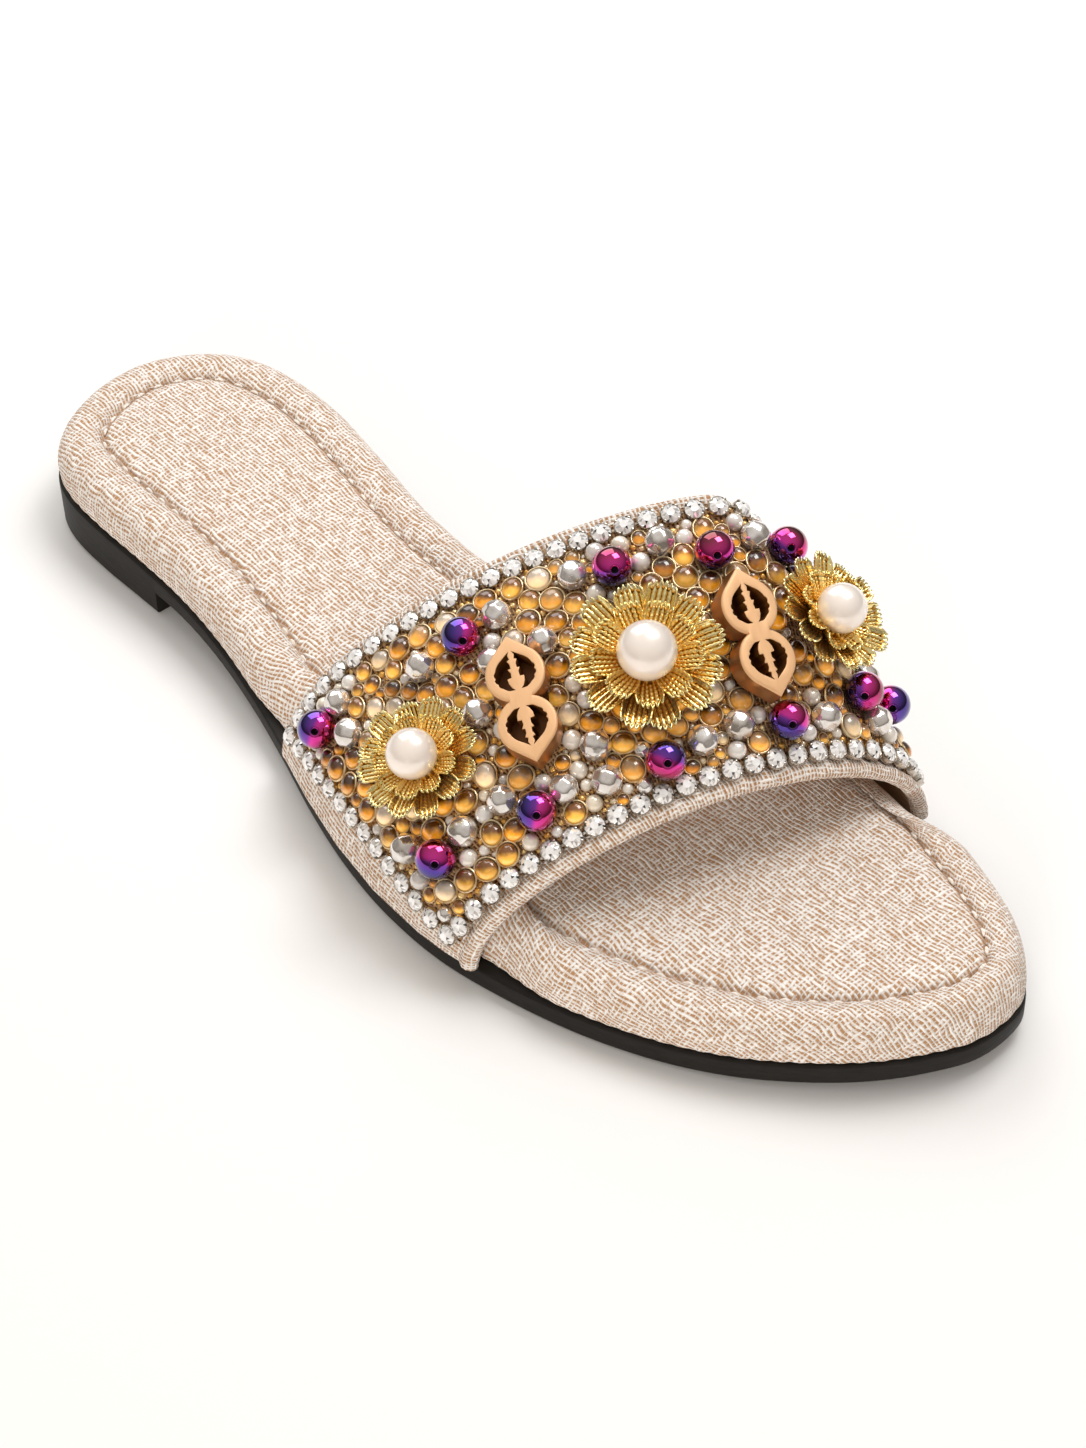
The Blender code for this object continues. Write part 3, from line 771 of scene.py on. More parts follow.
def sampled(grid, girth, depth):
    """Grid values between its rows and columns."""
    x = np.clip(np.asarray(girth, dtype=float), 0, 1) * GIRTH_STEPS
    y = np.clip(np.asarray(depth, dtype=float), 0, 1) * DEPTH_STEPS
    i = np.minimum(x.astype(int), GIRTH_STEPS - 1)
    j = np.minimum(y.astype(int), DEPTH_STEPS - 1)
    x, y = (x - i)[..., None], (y - j)[..., None]
    near = grid[j, i] * (1 - x) + grid[j, i + 1] * x
    far = grid[j + 1, i] * (1 - x) + grid[j + 1, i + 1] * x
    return near * (1 - y) + far * y


def on_strap(girth, depth, lift):
    """Points at a height over the strap, past its edges too, in millimetres."""
    depth = np.asarray(depth, dtype=float)
    beyond = depth - np.clip(depth, 0, 1)
    lifted = sampled(strap_out, girth, depth) * np.asarray(lift)[..., None]
    past_edge = sampled(depth_run, girth, depth) * (beyond * DEPTH_STEPS)[..., None]
    return sampled(strap_grid, girth, depth) + lifted + past_edge


def strap_seats(girth, depth, lift, turn=0.0, wide=1.0, long=1.0, high=1.0):
    """4 by 4 seats on the strap: X towards the inner end, Z outwards."""
    girth, depth = np.atleast_1d(girth).astype(float), np.atleast_1d(depth).astype(float)
    side = sampled(girth_run, girth, depth)
    out = sampled(strap_out, girth, depth)
    out /= np.linalg.norm(out, axis=1, keepdims=True)
    side -= out * (side * out).sum(axis=1, keepdims=True)
    side /= np.linalg.norm(side, axis=1, keepdims=True)
    fore = np.cross(out, side)
    turn, wide, long, high = (
        np.broadcast_to(value, girth.shape)[:, None] for value in (turn, wide, long, high)
    )
    seats = np.tile(np.eye(4), (len(girth), 1, 1))
    seats[:, :3, 0] = (side * np.cos(turn) + fore * np.sin(turn)) * wide
    seats[:, :3, 1] = (fore * np.cos(turn) - side * np.sin(turn)) * long
    seats[:, :3, 2] = out * high
    seats[:, :3, 3] = on_strap(girth, depth, np.broadcast_to(lift, girth.shape))
    return seats


STRAP_SECTION = (
    # depth, lift, 0 for cloth and 1 for lining
    (0.020, -2.35, 1), (0.006, -2.2, 0), (-0.004, -1.7, 0), (-0.007, -1.0, 0), (-0.002, -0.35, 0),
    (0.010, 0.05, 0), (0.022, 0.15, 0), (0.034, 0.02, 0), (0.046, 0.0, 0), (0.2, 0.0, 0), (0.4, 0.0, 0),
    (0.6, 0.0, 0), (0.8, 0.0, 0), (0.9, 0.0, 0), (0.94, 0.0, 0), (0.952, -0.06, 0), (0.959, 0.14, 0),
    (0.966, 0.55, 0), (0.976, 0.86, 0), (0.988, 0.9, 0), (1.000, 0.64, 0), (1.008, 0.1, 0),
    (1.010, -0.6, 0), (1.008, -1.3, 0), (0.998, -1.95, 0), (0.982, -2.3, 0), (0.968, -2.4, 1),
    (0.8, -2.4, 1), (0.6, -2.4, 1), (0.4, -2.4, 1), (0.2, -2.4, 1),
)
STRAP_GIRTH = 240
CORD_START = 0.955
CORD_UNDERSIDE = -2.0
CORD_LUMP = 0.05
CLOTH_OVER_GIRTH = 150.0
CLOTH_OVER_DEPTH = 60.0
girths = np.linspace(0, 1, STRAP_GIRTH + 1)
points = []
cloth = []
run = 0.0
for depth, lift, _ in STRAP_SECTION:
    lump = np.zeros(len(girths))
    if depth > CORD_START and lift > CORD_UNDERSIDE:
        lump = np.sin(girths * 310) * CORD_LUMP + np.sin(girths * 127 + 1) * CORD_LUMP
    line = on_strap(girths, np.full(len(girths), depth), lift + lump)
    if points:
        run += float(np.linalg.norm((line - points[-1])[STRAP_GIRTH // 2]))
    points.append(line)
    cloth.append(np.stack([girths * CLOTH_OVER_GIRTH, np.full(len(girths), run), girths * 0], axis=1))
width = STRAP_GIRTH + 1
faces = []
indices = []
for k in range(len(STRAP_SECTION)):
    following = (k + 1) % len(STRAP_SECTION)
    lined = STRAP_SECTION[k][2] and STRAP_SECTION[following][2]
    for i in range(STRAP_GIRTH):
        faces.append((k * width + i, k * width + i + 1, following * width + i + 1, following * width + i))
        indices.append(int(lined))
faces.append(tuple(k * width for k in range(len(STRAP_SECTION))))
faces.append(tuple(k * width + STRAP_GIRTH for k in reversed(range(len(STRAP_SECTION)))))
indices += [0, 0]
strap_cloth = woven_cloth("Strap cloth", CLOTH_PITCH, (0.42, 0.22, 0.10), (0.955, 0.905, 0.85))
lining, start = new_material("Pale lining", Specular_IOR_Level=0.3)
pebble = start.grain(900.0, 3.0)
patch = start.grain(60.0)
feed(lining, Base_Color=patch.blend((0.35, 0.215, 0.125), (0.46, 0.305, 0.19)),
     Roughness=pebble * 0.2 + 0.5, Normal=pebble.bump(0.0001, 0.4))
strap = build_mesh("strap", np.concatenate(points) * MM, faces, [strap_cloth, lining],
                   {"cloth": np.concatenate(cloth)}, indices)
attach(strap, "root")
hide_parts("upper")

# Ground of the bead panel.  A tan net glued to the strap, which carries all the
# beads and shows a little between them.
NET_GIRTH = 200
NET_DEPTH = 70
NET_BACK = 0.045
NET_FRONT = 0.948
NET_PAST_CHAIN = 0.011
NET_THICKNESS = 1.0
NET_EDGE = 0.35
NET_SLOPE = 1.2
NET_UNDERSIDE = 0.12
NET_LUMP = 0.12
CHAIN_PATH = (
    # girth, depth
    (0.052, 0.065), (0.060, 0.18), (0.070, 0.38), (0.073, 0.56), (0.062, 0.74), (0.044, 0.93),
    (0.12, 0.934), (0.25, 0.940), (0.40, 0.944), (0.60, 0.942), (0.75, 0.936), (0.88, 0.926),
    (0.948, 0.915),
    (0.945, 0.70), (0.944, 0.45), (0.945, 0.20), (0.946, 0.075),
    (0.88, 0.068), (0.75, 0.070), (0.60, 0.076), (0.40, 0.080), (0.25, 0.068), (0.14, 0.052),
)
outer_side = sorted((depth, girth) for girth, depth in CHAIN_PATH[:6])
inner_side = sorted((depth, girth) for girth, depth in CHAIN_PATH[12:17])
back_edge = sorted(CHAIN_PATH[16:] + CHAIN_PATH[:1])
front_edge = sorted(CHAIN_PATH[5:13])
depths = np.linspace(NET_BACK, NET_FRONT, NET_DEPTH + 1)
grid_share, grid_depth = np.meshgrid(np.linspace(0, 1, NET_GIRTH + 1), depths)
outer_girth = np.interp(grid_depth, *zip(*outer_side)) - NET_PAST_CHAIN
inner_girth = np.interp(grid_depth, *zip(*inner_side)) + NET_PAST_CHAIN
grid_girth = outer_girth + (inner_girth - outer_girth) * grid_share
lumps = NET_LUMP * np.sin(grid_girth * 260) * np.sin(grid_depth * 97)
edge = np.minimum(np.minimum(grid_girth - outer_girth, inner_girth - grid_girth) * CLOTH_OVER_GIRTH,
                  np.minimum(grid_depth - NET_BACK, NET_FRONT - grid_depth) * CLOTH_OVER_DEPTH)
thickness = NET_EDGE + (NET_THICKNESS - NET_EDGE) * np.clip(edge / NET_SLOPE, 0, 1) + lumps
upper_face = on_strap(grid_girth, grid_depth, thickness)
lower_face = on_strap(grid_girth, grid_depth, np.full(grid_girth.shape, NET_UNDERSIDE))
points = np.concatenate([upper_face.reshape(-1, 3), lower_face.reshape(-1, 3)]) * MM
cloth = np.stack([grid_girth * CLOTH_OVER_GIRTH, grid_depth * CLOTH_OVER_DEPTH, grid_depth * 0], axis=2)
cloth = cloth.reshape(-1, 3)


def grid_faces(rows, columns):
    """Quads over a grid of points, row by row."""
    width = columns + 1
    starts = [j * width + i for j in range(rows) for i in range(columns)]
    return [(start, start + 1, start + width + 1, start + width) for start in starts]


width = NET_GIRTH + 1
layer = width * (NET_DEPTH + 1)
faces = []
for quad in grid_faces(NET_DEPTH, NET_GIRTH):
    faces += [quad, tuple(corner + layer for corner in reversed(quad))]
border = list(range(NET_GIRTH))
border += [j * width + NET_GIRTH for j in range(NET_DEPTH)]
border += [NET_DEPTH * width + i for i in range(NET_GIRTH, 0, -1)]
border += [j * width for j in range(NET_DEPTH, 0, -1)]
for a, b in zip(border, border[1:] + border[:1]):
    faces.append((a, b, b + layer, a + layer))
# the net's holes are painted dark brown: painted shade between the beads, over the pale strap cloth
net = woven_cloth("Tan net", 0.8, (0.09, 0.035, 0.010), (0.50, 0.30, 0.15))
ground = build_mesh("bead_ground", points, faces, [net], {"cloth": np.concatenate([cloth, cloth])})
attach(ground, "root")
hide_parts("bead_panel")

# Large balls.  Glass with an iridescent violet, magenta and crimson mirror coat, each
# sewn down through its drilled hole.  The holes turn towards the camera and are painted
# near black inside: painted shade in the pit, standing in for a dark reflection on top.
BALL_RADIUS = 3.8
BALL_NODES = [f"large_bead_{k:02d}" for k in range(1, 12)]
BALLS = (
    # girth, depth
    (0.108, 0.183),
    (0.317, 0.25),
    (0.507, 0.245),
    (0.622, 0.285),
    (0.712, 0.24),
    (0.132, 0.77),
    (0.275, 0.835),
    (0.458, 0.867),
    (0.644, 0.85),
    (0.780, 0.76),
    (0.857, 0.74),
)
BALL_HOLE = 0.72
BALL_PIT = ((BALL_HOLE * 0.9, 0.25), (0.35, 1.6))
BALL_RINGS = 26
BALL_SEGMENTS = 40
BALL_LIFT = 0.3
# the holes face the camera, so their painted dark inside stands in for a dark reflection
HOLE_TOWARDS_CAMERA = Vector((-0.60, -0.62, 0.51))
HOLE_SCATTER = 0.14
COAT_SCATTER = 0.25
angles = np.linspace(math.pi - 0.12, math.asin(BALL_HOLE / BALL_RADIUS), BALL_RINGS)
profile = [(BALL_RADIUS * math.sin(a), BALL_RADIUS * math.cos(a)) for a in angles]
profile += [(radius, BALL_RADIUS - down) for radius, down in BALL_PIT]
points, faces, _ = turned(profile, BALL_SEGMENTS)
hole_edge = (BALL_RINGS - 1) * BALL_SEGMENTS
indices = [int(face[0] >= hole_edge) for face in faces]
seats = strap_seats(*zip(*BALLS), BALL_RADIUS + BALL_LIFT)
draw = random.Random(5)
sides = []
for seat in seats:
    lean = Vector([draw.uniform(-HOLE_SCATTER, HOLE_SCATTER) for _ in range(3)])
    seat[:3, :3] = np.array((HOLE_TOWARDS_CAMERA + lean).to_track_quat("Z", "Y").to_matrix())
    heading = draw.uniform(0, 2 * math.pi)
    axis = np.array([math.cos(heading), math.sin(heading), draw.uniform(-COAT_SCATTER, COAT_SCATTER)])
    sides.append(points @ (axis / np.linalg.norm(axis)) / BALL_RADIUS)
coat, start = new_material(
    "Violet mirror coat", Metallic=1.0, Coat_Weight=1.0, Coat_IOR=1.55, Coat_Roughness=0.02,
)
sweep = start.attribute("sweep") * 0.5 + 0.5
film = start.grain(120.0)
sweep = sweep + (film - 0.5) * 0.16
feed(coat, Base_Color=sweep.ramp(
    (0.0, (0.026, 0.014, 0.13)),
    (0.25, (0.055, 0.016, 0.31)),
    (0.45, (0.19, 0.012, 0.38)),
    (0.56, (0.76, 0.008, 0.36)),
    (0.80, (0.58, 0.006, 0.18)),
    (1.0, (0.14, 0.02, 0.01)),
), Roughness=film * 0.05 + 0.05)
# near black inside the hole: painted shade and a painted dark reflection
painted_dark_hole, start = new_material("Drilled hole, painted dark")
hole_mottle = start.grain(800.0)
feed(painted_dark_hole, Base_Color=hole_mottle.blend((0.004, 0.001, 0.006), (0.02, 0.006, 0.02)), Roughness=hole_mottle * 0.3 + 0.4)
balls = repeat("violet_balls", (points, faces, indices), seats, [coat, painted_dark_hole],
               whole={"sweep": np.concatenate(sides)})
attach(balls, "root")
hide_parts(*BALL_NODES)

# Gilt flowers.  Two tiers of stamped filigree petals, each petal a fan of beaded
# wires inside a raised outline, riveted through the middle under a pearl's cup.
FLOWERS = (
    # name, girth, depth, radius, pearl radius, lean, rise
    ("outer", 0.198, 0.53, 11.8, 4.8, 12.0, 0.7),
    ("middle", 0.495, 0.587, 14.5, 5.6, 0.0, 0.0),
    ("inner", 0.732, 0.54, 12.2, 4.8, -8.0, 0.5),
)
FLOWER_RADIUS = 13.4
PANEL_TOP = 2.7
GAP = 0.3
TIERS = (
    # petals, wires, foot radius, tip radius, foot height, tip height, half width, cup, grain, material
    (12, 6, 3.6, 13.9, 0.6, 2.9, 2.75, 0.7, 0.13, 0),
    (9, 6, 2.6, 9.9, 1.3, 4.2, 2.50, 0.8, 0.16, 1),
)
PETAL_ROWS = 26
COLUMNS_PER_WIRE = 4
WIRE_HEIGHT = 0.72
OUTLINE_HEIGHT = 0.38
OUTLINE_AT_TIP = 0.93
OUTLINE_AT_SIDE = 0.90
# in millimetres for a petal of the full size, and shares of its length and width
PETAL_LEAN = (-0.6, 0.7)
PETAL_TWIST = 0.5
PETAL_LENGTHS = (0.94, 1.03)
PETAL_FOOT = 0.34
PETAL_WIDEST = 0.8
PETAL_SHOULDER = 0.15
PETAL_NOTCH = 1.0
PETAL_CURL = 1.3
PETAL_DROOP = 1.3
PETAL_STAGGER = 0.55
PETAL_METAL = 0.28
HEADING_SCATTER = 0.05
GRAIN_PITCH = 0.85
GRAIN_STAGGER = 2.1
FLOWER_DISC = ((0.01, 0.0), (4.4, 0.0), (4.7, 0.35), (4.4, 1.3), (3.4, 1.7), (0.01, 1.7))
DISC_RIDGE = 0.45


def petal(draw, wires, foot, tip, low, high, half, cup, grain, heading):
    """Points, wire heights and faces of one petal."""
    columns = wires * COLUMNS_PER_WIRE
    lean = draw.uniform(*PETAL_LEAN)
    twist = draw.uniform(-PETAL_TWIST, PETAL_TWIST)
    length = (tip - foot) * draw.uniform(*PETAL_LENGTHS)
    points, ridges = [], []
    for j in range(PETAL_ROWS + 1):
        out = j / PETAL_ROWS
        widening = math.sin(math.pi / 2 * min(out / PETAL_WIDEST, 1.0))
        spread = half * (PETAL_FOOT + (1 - PETAL_FOOT) * widening)
        for i in range(columns + 1):
            c = 2 * i / columns - 1
            wire = abs(math.sin(math.pi * wires * (c + 1) / 2))
            reach = length * (1 - PETAL_SHOULDER * c * c) - PETAL_NOTCH * (1 - wire**0.6)
            along = foot + reach * out
            across = c * spread
            at_tip = (out - OUTLINE_AT_TIP) / (1 - OUTLINE_AT_TIP)
            at_side = (abs(c) - OUTLINE_AT_SIDE) / (1 - OUTLINE_AT_SIDE)
            outline = max(0.0, at_tip, at_side)
            stagger = GRAIN_STAGGER * int(wires * (c + 1) / 2)
            beads = grain * math.cos(along * 2 * math.pi / GRAIN_PITCH + stagger)
            ridge = min(1.0, wire**0.6 * (0.75 + 0.25 * out) + 0.8 * outline)
            up = low + (high + lean - low) * out**PETAL_CURL + cup * c * c * out + twist * c * out
            up += WIRE_HEIGHT * ridge + OUTLINE_HEIGHT * outline + beads * ridge
            up -= PETAL_DROOP * max(0.0, out - PETAL_WIDEST)
            points.append((
                along * math.cos(heading) - across * math.sin(heading),
                along * math.sin(heading) + across * math.cos(heading),
                up,
            ))
            ridges.append(ridge)
    return points, ridges, grid_faces(PETAL_ROWS, columns)


def gilt(name, hollow_shade, middle, bright):
    """Stamped gilt, with painted shade in the hollows between the wires and a painted highlight along their
    tops.
    """
    material, start = new_material(name, Metallic=0.92, Specular_IOR_Level=0.6)
    ridge = start.attribute("ridge")
    wear = start.grain(900.0, 3.0)
    # the wear noise also shifts where the painted shade and painted highlight fall
    painted_light_level = ridge + (wear - 0.5) * 0.3
    feed(material, Base_Color=painted_light_level.ramp((0.30, hollow_shade), (0.62, middle), (0.95, bright)),
         Roughness=0.25 - ridge * 0.12 + wear * 0.08, Normal=wear.bump(0.00016, 0.5))
    return material


def leaned_seat(girth, depth, lift, lean, turn=0.0):
    """A seat tipped towards the inner side, as a matrix in metres."""
    seat = Matrix(strap_seats(girth, depth, lift)[0].tolist())
    seat.translation *= MM
    return seat @ Matrix.Rotation(math.radians(lean), 4, "Y") @ Matrix.Rotation(math.radians(turn), 4, "Z")


# the hollow colours are painted shade, the bright colours painted highlights
pale_gilt = gilt("Pale gilt", (0.028, 0.007, 0.0), (1.0, 0.50, 0.055), (1.0, 0.90, 0.46))
warm_gilt = gilt("Warm gilt", (0.06, 0.016, 0.0), (1.0, 0.50, 0.045), (1.0, 0.84, 0.36))
draw = random.Random(11)
for name, girth, depth, radius, _, lean, rise in FLOWERS:
    points, ridges, faces, indices = [], [], [], []
    for petals, wires, foot, tip, low, high, half, cup, grain, index in TIERS:
        offset = draw.uniform(0, 1)
        for k in range(petals):
            heading = 2 * math.pi * (k + offset) / petals
            heading += draw.uniform(-HEADING_SCATTER, HEADING_SCATTER)
            lift = PETAL_STAGGER * (k % 2)
            part, heights, part_faces = petal(
                draw, wires, foot, tip, low + lift, high + lift, half, cup, grain, heading,
            )
            faces += numbered_from(len(points), part_faces)
            points += part
            ridges += heights
            indices += [index] * len(part_faces)
    disc, disc_faces, _ = turned(FLOWER_DISC, 32)
    faces += numbered_from(len(points), disc_faces)
    points += disc.tolist()
    ridges += [DISC_RIDGE] * len(disc)
    indices += [1] * len(disc_faces)
    flat = np.array(points) * radius / FLOWER_RADIUS * MM
    flower = build_mesh(f"gilt_flower_{name}", flat, faces, [pale_gilt, warm_gilt],
                        {"ridge": ridges}, indices)
    wall = flower.modifiers.new("Sheet metal", "SOLIDIFY")
    wall.thickness = PETAL_METAL * MM
    wall.offset = -1.0
    flower.matrix_world = leaned_seat(girth, depth, PANEL_TOP + GAP + rise, lean)
    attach(flower, "root")
    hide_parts(f"flower_{name}")

# Pearls.  Round cream pearls, one in the cup of each flower, held by a turned gilt
# collar.
COLLAR_RADIUS = 0.80
COLLAR_DROP = 0.62
COLLAR_WIRE = 0.55


def ball_shape(pole, rings, segments, high=1.0):
    """A ball of radius 1 with a small flat at each pole, which is an angle wide."""
    angles = np.linspace(pole, math.pi - pole, rings)
    return turned([(math.sin(a), -math.cos(a) * high) for a in angles], segments)


def wire_ring(radius, up, wide, high, steps, segments):
    """A wire of oval section, bent into a closed ring."""
    angles = np.linspace(0, 2 * math.pi, steps + 1)[:-1]
    section = [(radius + wide * math.cos(a), up + high * math.sin(a)) for a in angles]
    return turned(section + section[:1], segments, False, False)


pearl_coat, start = new_material(
    "Pearl lustre", Coat_Weight=1.0, Coat_Roughness=0.10, Metallic=0.25, Specular_IOR_Level=0.6,
)
bloom = start.grain(90.0)
feed(pearl_coat, Base_Color=bloom.blend((0.90, 0.80, 0.71), (0.96, 0.88, 0.82)),
     Roughness=bloom * 0.08 + 0.22)
collar_gilt = gilt("Collar gilt", (0.30, 0.16, 0.03), (0.86, 0.56, 0.16), (1.0, 0.80, 0.40))
for name, girth, depth, _, pearl_radius, lean, _ in FLOWERS:
    low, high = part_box(f"pearl_{name}")
    middle = (Vector(low) + Vector(high)) / 2
    points, faces, _ = ball_shape(0.06, 30, 48)
    seat = np.array(leaned_seat(girth, depth, 0.0, lean))
    seat[:3, 3] = np.array(middle) / MM
    pearl = repeat(f"flower_pearl_{name}", (points * pearl_radius, faces, None), [seat], [pearl_coat])
    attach(pearl, "root")
    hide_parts(f"pearl_{name}")
    wire = (pearl_radius * COLLAR_RADIUS, -pearl_radius * COLLAR_DROP, COLLAR_WIRE, COLLAR_WIRE)
    points, faces, _ = wire_ring(*wire, 12, 44)
    # the ridge values alternate point by point, so stripes of painted shade and painted highlight run round
    # the collar
    collar = repeat(f"pearl_collar_{name}", (points, faces, None), [seat], [collar_gilt],
                    {"ridge": 0.5 + 0.5 * np.cos(np.arange(len(points)) * math.pi)})
    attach(collar, "root")

# Fretwork.  Two cast pieces, each a pair of pointed lobes with a stepped vein down
# the middle; the tops are brushed copper, and the walls are the same copper darkened
# as painted shade, darkest inside the openings and on a plate painted dark below them.
FRETS = (
    # name, girth, depth, turn, lean
    ("outer", 0.342, 0.56, 78.0, 5.0),
    ("inner", 0.626, 0.605, 94.0, 6.0),
)
FRET_RISE = 0.4
FRET_HEIGHT = 5.0
FRET_LOBE_RADIUS = 5.6
FRET_LOBE_CENTRE = 5.1
FRET_TIP = 12.7
FRET_RIM = 1.95
FRET_EASES = (0.55, 0.16)
FRET_VEIN = (
    (1.75, 0.55), (2.3, 1.1), (3.2, 1.5), (4.2, 1.6), (4.3, 0.8), (5.2, 0.75), (6.0, 1.15),
    (6.1, 0.6), (6.9, 0.6), (7.7, 0.95), (7.9, 0.45), (8.7, 0.65), (9.5, 0.25),
)
FRET_NOTCHES = ((3.2, 0.21), (4.4, 0.30), (5.6, 0.24))
NOTCH_HALF_WIDTH = 0.32
RIM_ENDS = (0.3, 1.0)
LOBE_STEPS = 22
TIP_RIM = 1.7
MITRE_LEAST = 0.9
FRET_FLOOR_SHARE = 0.9
FRET_FLOOR_LIFT = 0.4


def lobe_edge(rim):
    """Half of a pointed lobe's edge, from its round end to its tip."""
    radius = FRET_LOBE_RADIUS - rim
    tip = FRET_TIP - TIP_RIM * rim
    touch = math.acos(radius / (tip - FRET_LOBE_CENTRE))
    points = []
    for i in range(LOBE_STEPS + 1):
        angle = math.pi - (math.pi - touch) * i / LOBE_STEPS
        points.append((FRET_LOBE_CENTRE + radius * math.cos(angle), radius * math.sin(angle)))
    points.append((tip, 0.0))
    return points


def fret_opening(end, side):
    """One of the four openings: a notched rim on one side, the stepped vein on the other."""
    rim = []
    for x, y in lobe_edge(FRET_RIM):
        if FRET_VEIN[0][0] < x < FRET_VEIN[-1][0] - RIM_ENDS[0] and y > RIM_ENDS[1]:
            notch = sum(depth for at, depth in FRET_NOTCHES if abs(x - at) < NOTCH_HALF_WIDTH)
            rim.append((x, y + notch))
    shape = rim + list(reversed(FRET_VEIN))
    return [(end * x, side * y) for x, y in shape]


brushed, start = new_material("Brushed copper", Metallic=0.3, Specular_IOR_Level=0.4)
where = start.node("TexCoord", output="Object")
brush = start.noise(start.node("Mapping", {}, {"Vector": where, "Scale": (1.0, 6.0, 1.0)}), 400.0, 3.0)
tint = start.grain(70.0)
feed(brushed, Base_Color=(tint * 0.7 + brush * 0.3).blend((0.72, 0.40, 0.19), (0.88, 0.56, 0.31)),
     Roughness=brush * 0.15 + 0.42, Normal=brush.bump(0.00006, 0.3))


def shaded_copper(name, metallic, dark, light, roughness):
    """Copper darkened as painted shade, with an uneven mottle."""
    material, start = new_material(name, Metallic=metallic)
    mottle = start.grain(150.0, 3.0)
    feed(material, Base_Color=mottle.blend(dark, light), Roughness=mottle * 0.2 + roughness)
    return material


wall_shade_copper = shaded_copper("Copper wall, painted shade", 0.8, (0.34, 0.14, 0.042), (0.62, 0.29, 0.11), 0.22)
deep_shade_copper = shaded_copper("Copper inside, painted deep shade", 0.5, (0.070, 0.022, 0.004), (0.30, 0.11, 0.025), 0.25)
half = [(x, y) for x, y in lobe_edge(0.0) if y > FRET_LOBE_RADIUS * 0.3 or x > FRET_LOBE_CENTRE]
outer_edge = half + [(x, -y) for x, y in half[-2::-1]]
outline = outer_edge + [(-x, -y) for x, y in outer_edge]


def eased(loop, by):
    """The loop moved to its left, into the metal."""
    loop = np.array(loop)
    before = loop - np.roll(loop, 1, axis=0)
    after = np.roll(loop, -1, axis=0) - loop
    before /= np.linalg.norm(before, axis=1, keepdims=True)
    after /= np.linalg.norm(after, axis=1, keepdims=True)
    side = np.stack([-(before + after)[:, 1], (before + after)[:, 0]], axis=1)
    length = np.maximum(np.linalg.norm(side, axis=1, keepdims=True), MITRE_LEAST)
    return loop + side / length * by


def wound(loop, anticlockwise):
    """The loop in the winding that keeps the metal on its left."""
    area = sum(x0 * y1 - x1 * y0 for (x0, y0), (x1, y1) in zip(loop, loop[1:] + loop[:1]))
    return loop if (area > 0) == anticlockwise else loop[::-1]


fret_loops = [wound(outline, True)]
fret_loops += [wound(fret_opening(end, side), False) for end in (-1, 1) for side in (-1, 1)]
FRET_LEVELS = (
    # move into the metal and down, in eases, and the material of the step below
    (1.0, 0.0, 0), (0.62, 0.08, 0), (0.29, 0.29, 0), (0.08, 0.62, 0), (0.0, 1.0, 1), (0.0, 2.0, 1),
)
points, faces, indices = [], [], []
top_loops, bottom_loops = [], []
for k, loop in enumerate(fret_loops):
    starts = []
    ease = FRET_EASES[min(k, 1)]
    for inwards, down, _ in FRET_LEVELS:
        starts.append(len(points))
        up = FRET_HEIGHT / 2 - (ease * down if down <= 1 else FRET_HEIGHT)
        points += [(x, y, up) for x, y in eased(loop, ease * inwards)]
    for (low, high), (_, _, index) in zip(zip(starts, starts[1:]), FRET_LEVELS):
        faces += ring_faces(low, high, len(loop))
        # the outer wall takes the copper in painted shade, the walls of the openings the copper in painted
        # deep shade
        indices += [index if index == 0 or k == 0 else 2] * len(loop)
    top_loops.append(range(starts[0], starts[0] + len(loop)))
    bottom_loops.append(range(starts[-1], starts[-1] + len(loop)))
for loops, index in ((top_loops, 0), (bottom_loops, 2)):
    flat = [corner for loop in loops for corner in loop]
    triangles = tessellate_polygon([[Vector(points[corner]) for corner in loop] for loop in loops])
    faces += [tuple(flat[corner] for corner in triangle) for triangle in triangles]
    indices += [index] * len(triangles)
# a plate under the openings in painted deep shade, so that they look dark
first = len(points)
floor_up = FRET_FLOOR_LIFT - FRET_HEIGHT / 2
points += [(x * FRET_FLOOR_SHARE, y * FRET_FLOOR_SHARE, floor_up) for x, y in outline]
faces.append(tuple(range(first, first + len(outline))))
indices.append(2)
fret_lift = PANEL_TOP + GAP + FRET_RISE + FRET_HEIGHT / 2
for name, girth, depth, turn, lean in FRETS:
    fret = build_mesh(f"copper_fret_{name}", np.array(points) * MM, faces, [brushed, wall_shade_copper, deep_shade_copper],
                      None, indices)
    fret.data.set_sharp_from_angle(angle=math.radians(40))
    fret.matrix_world = leaned_seat(girth, depth, fret_lift, lean, turn)
    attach(fret, "root")
    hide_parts(f"fret_{name}")

# Cup chain.  Clear round rhinestones in silver four-prong cups, linked in a chain
# that is sewn round all four sides of the bead panel.
CHAIN_PITCH = 4.45
CHAIN_LIFT = 0.75
PATH_STEPS = 30
LOOK_AHEAD = 0.5
CUP_PROFILE = (
    (0.01, -0.35), (1.86, -0.35), (2.0, -0.2), (2.08, 0.95), (2.0, 1.15), (1.9, 1.05), (1.86, 0.6),
    (0.01, 0.55),
)
PRONG_CIRCLE = 1.80
PRONG_PROFILE = ((0.36, 0.0), (0.36, 1.1), (0.28, 1.38), (0.08, 1.5))
LINK_PROFILE = ((0.28, -0.5), (0.28, 0.5))
LINK_FLATNESS = 0.8
LINK_LIFT = 0.1


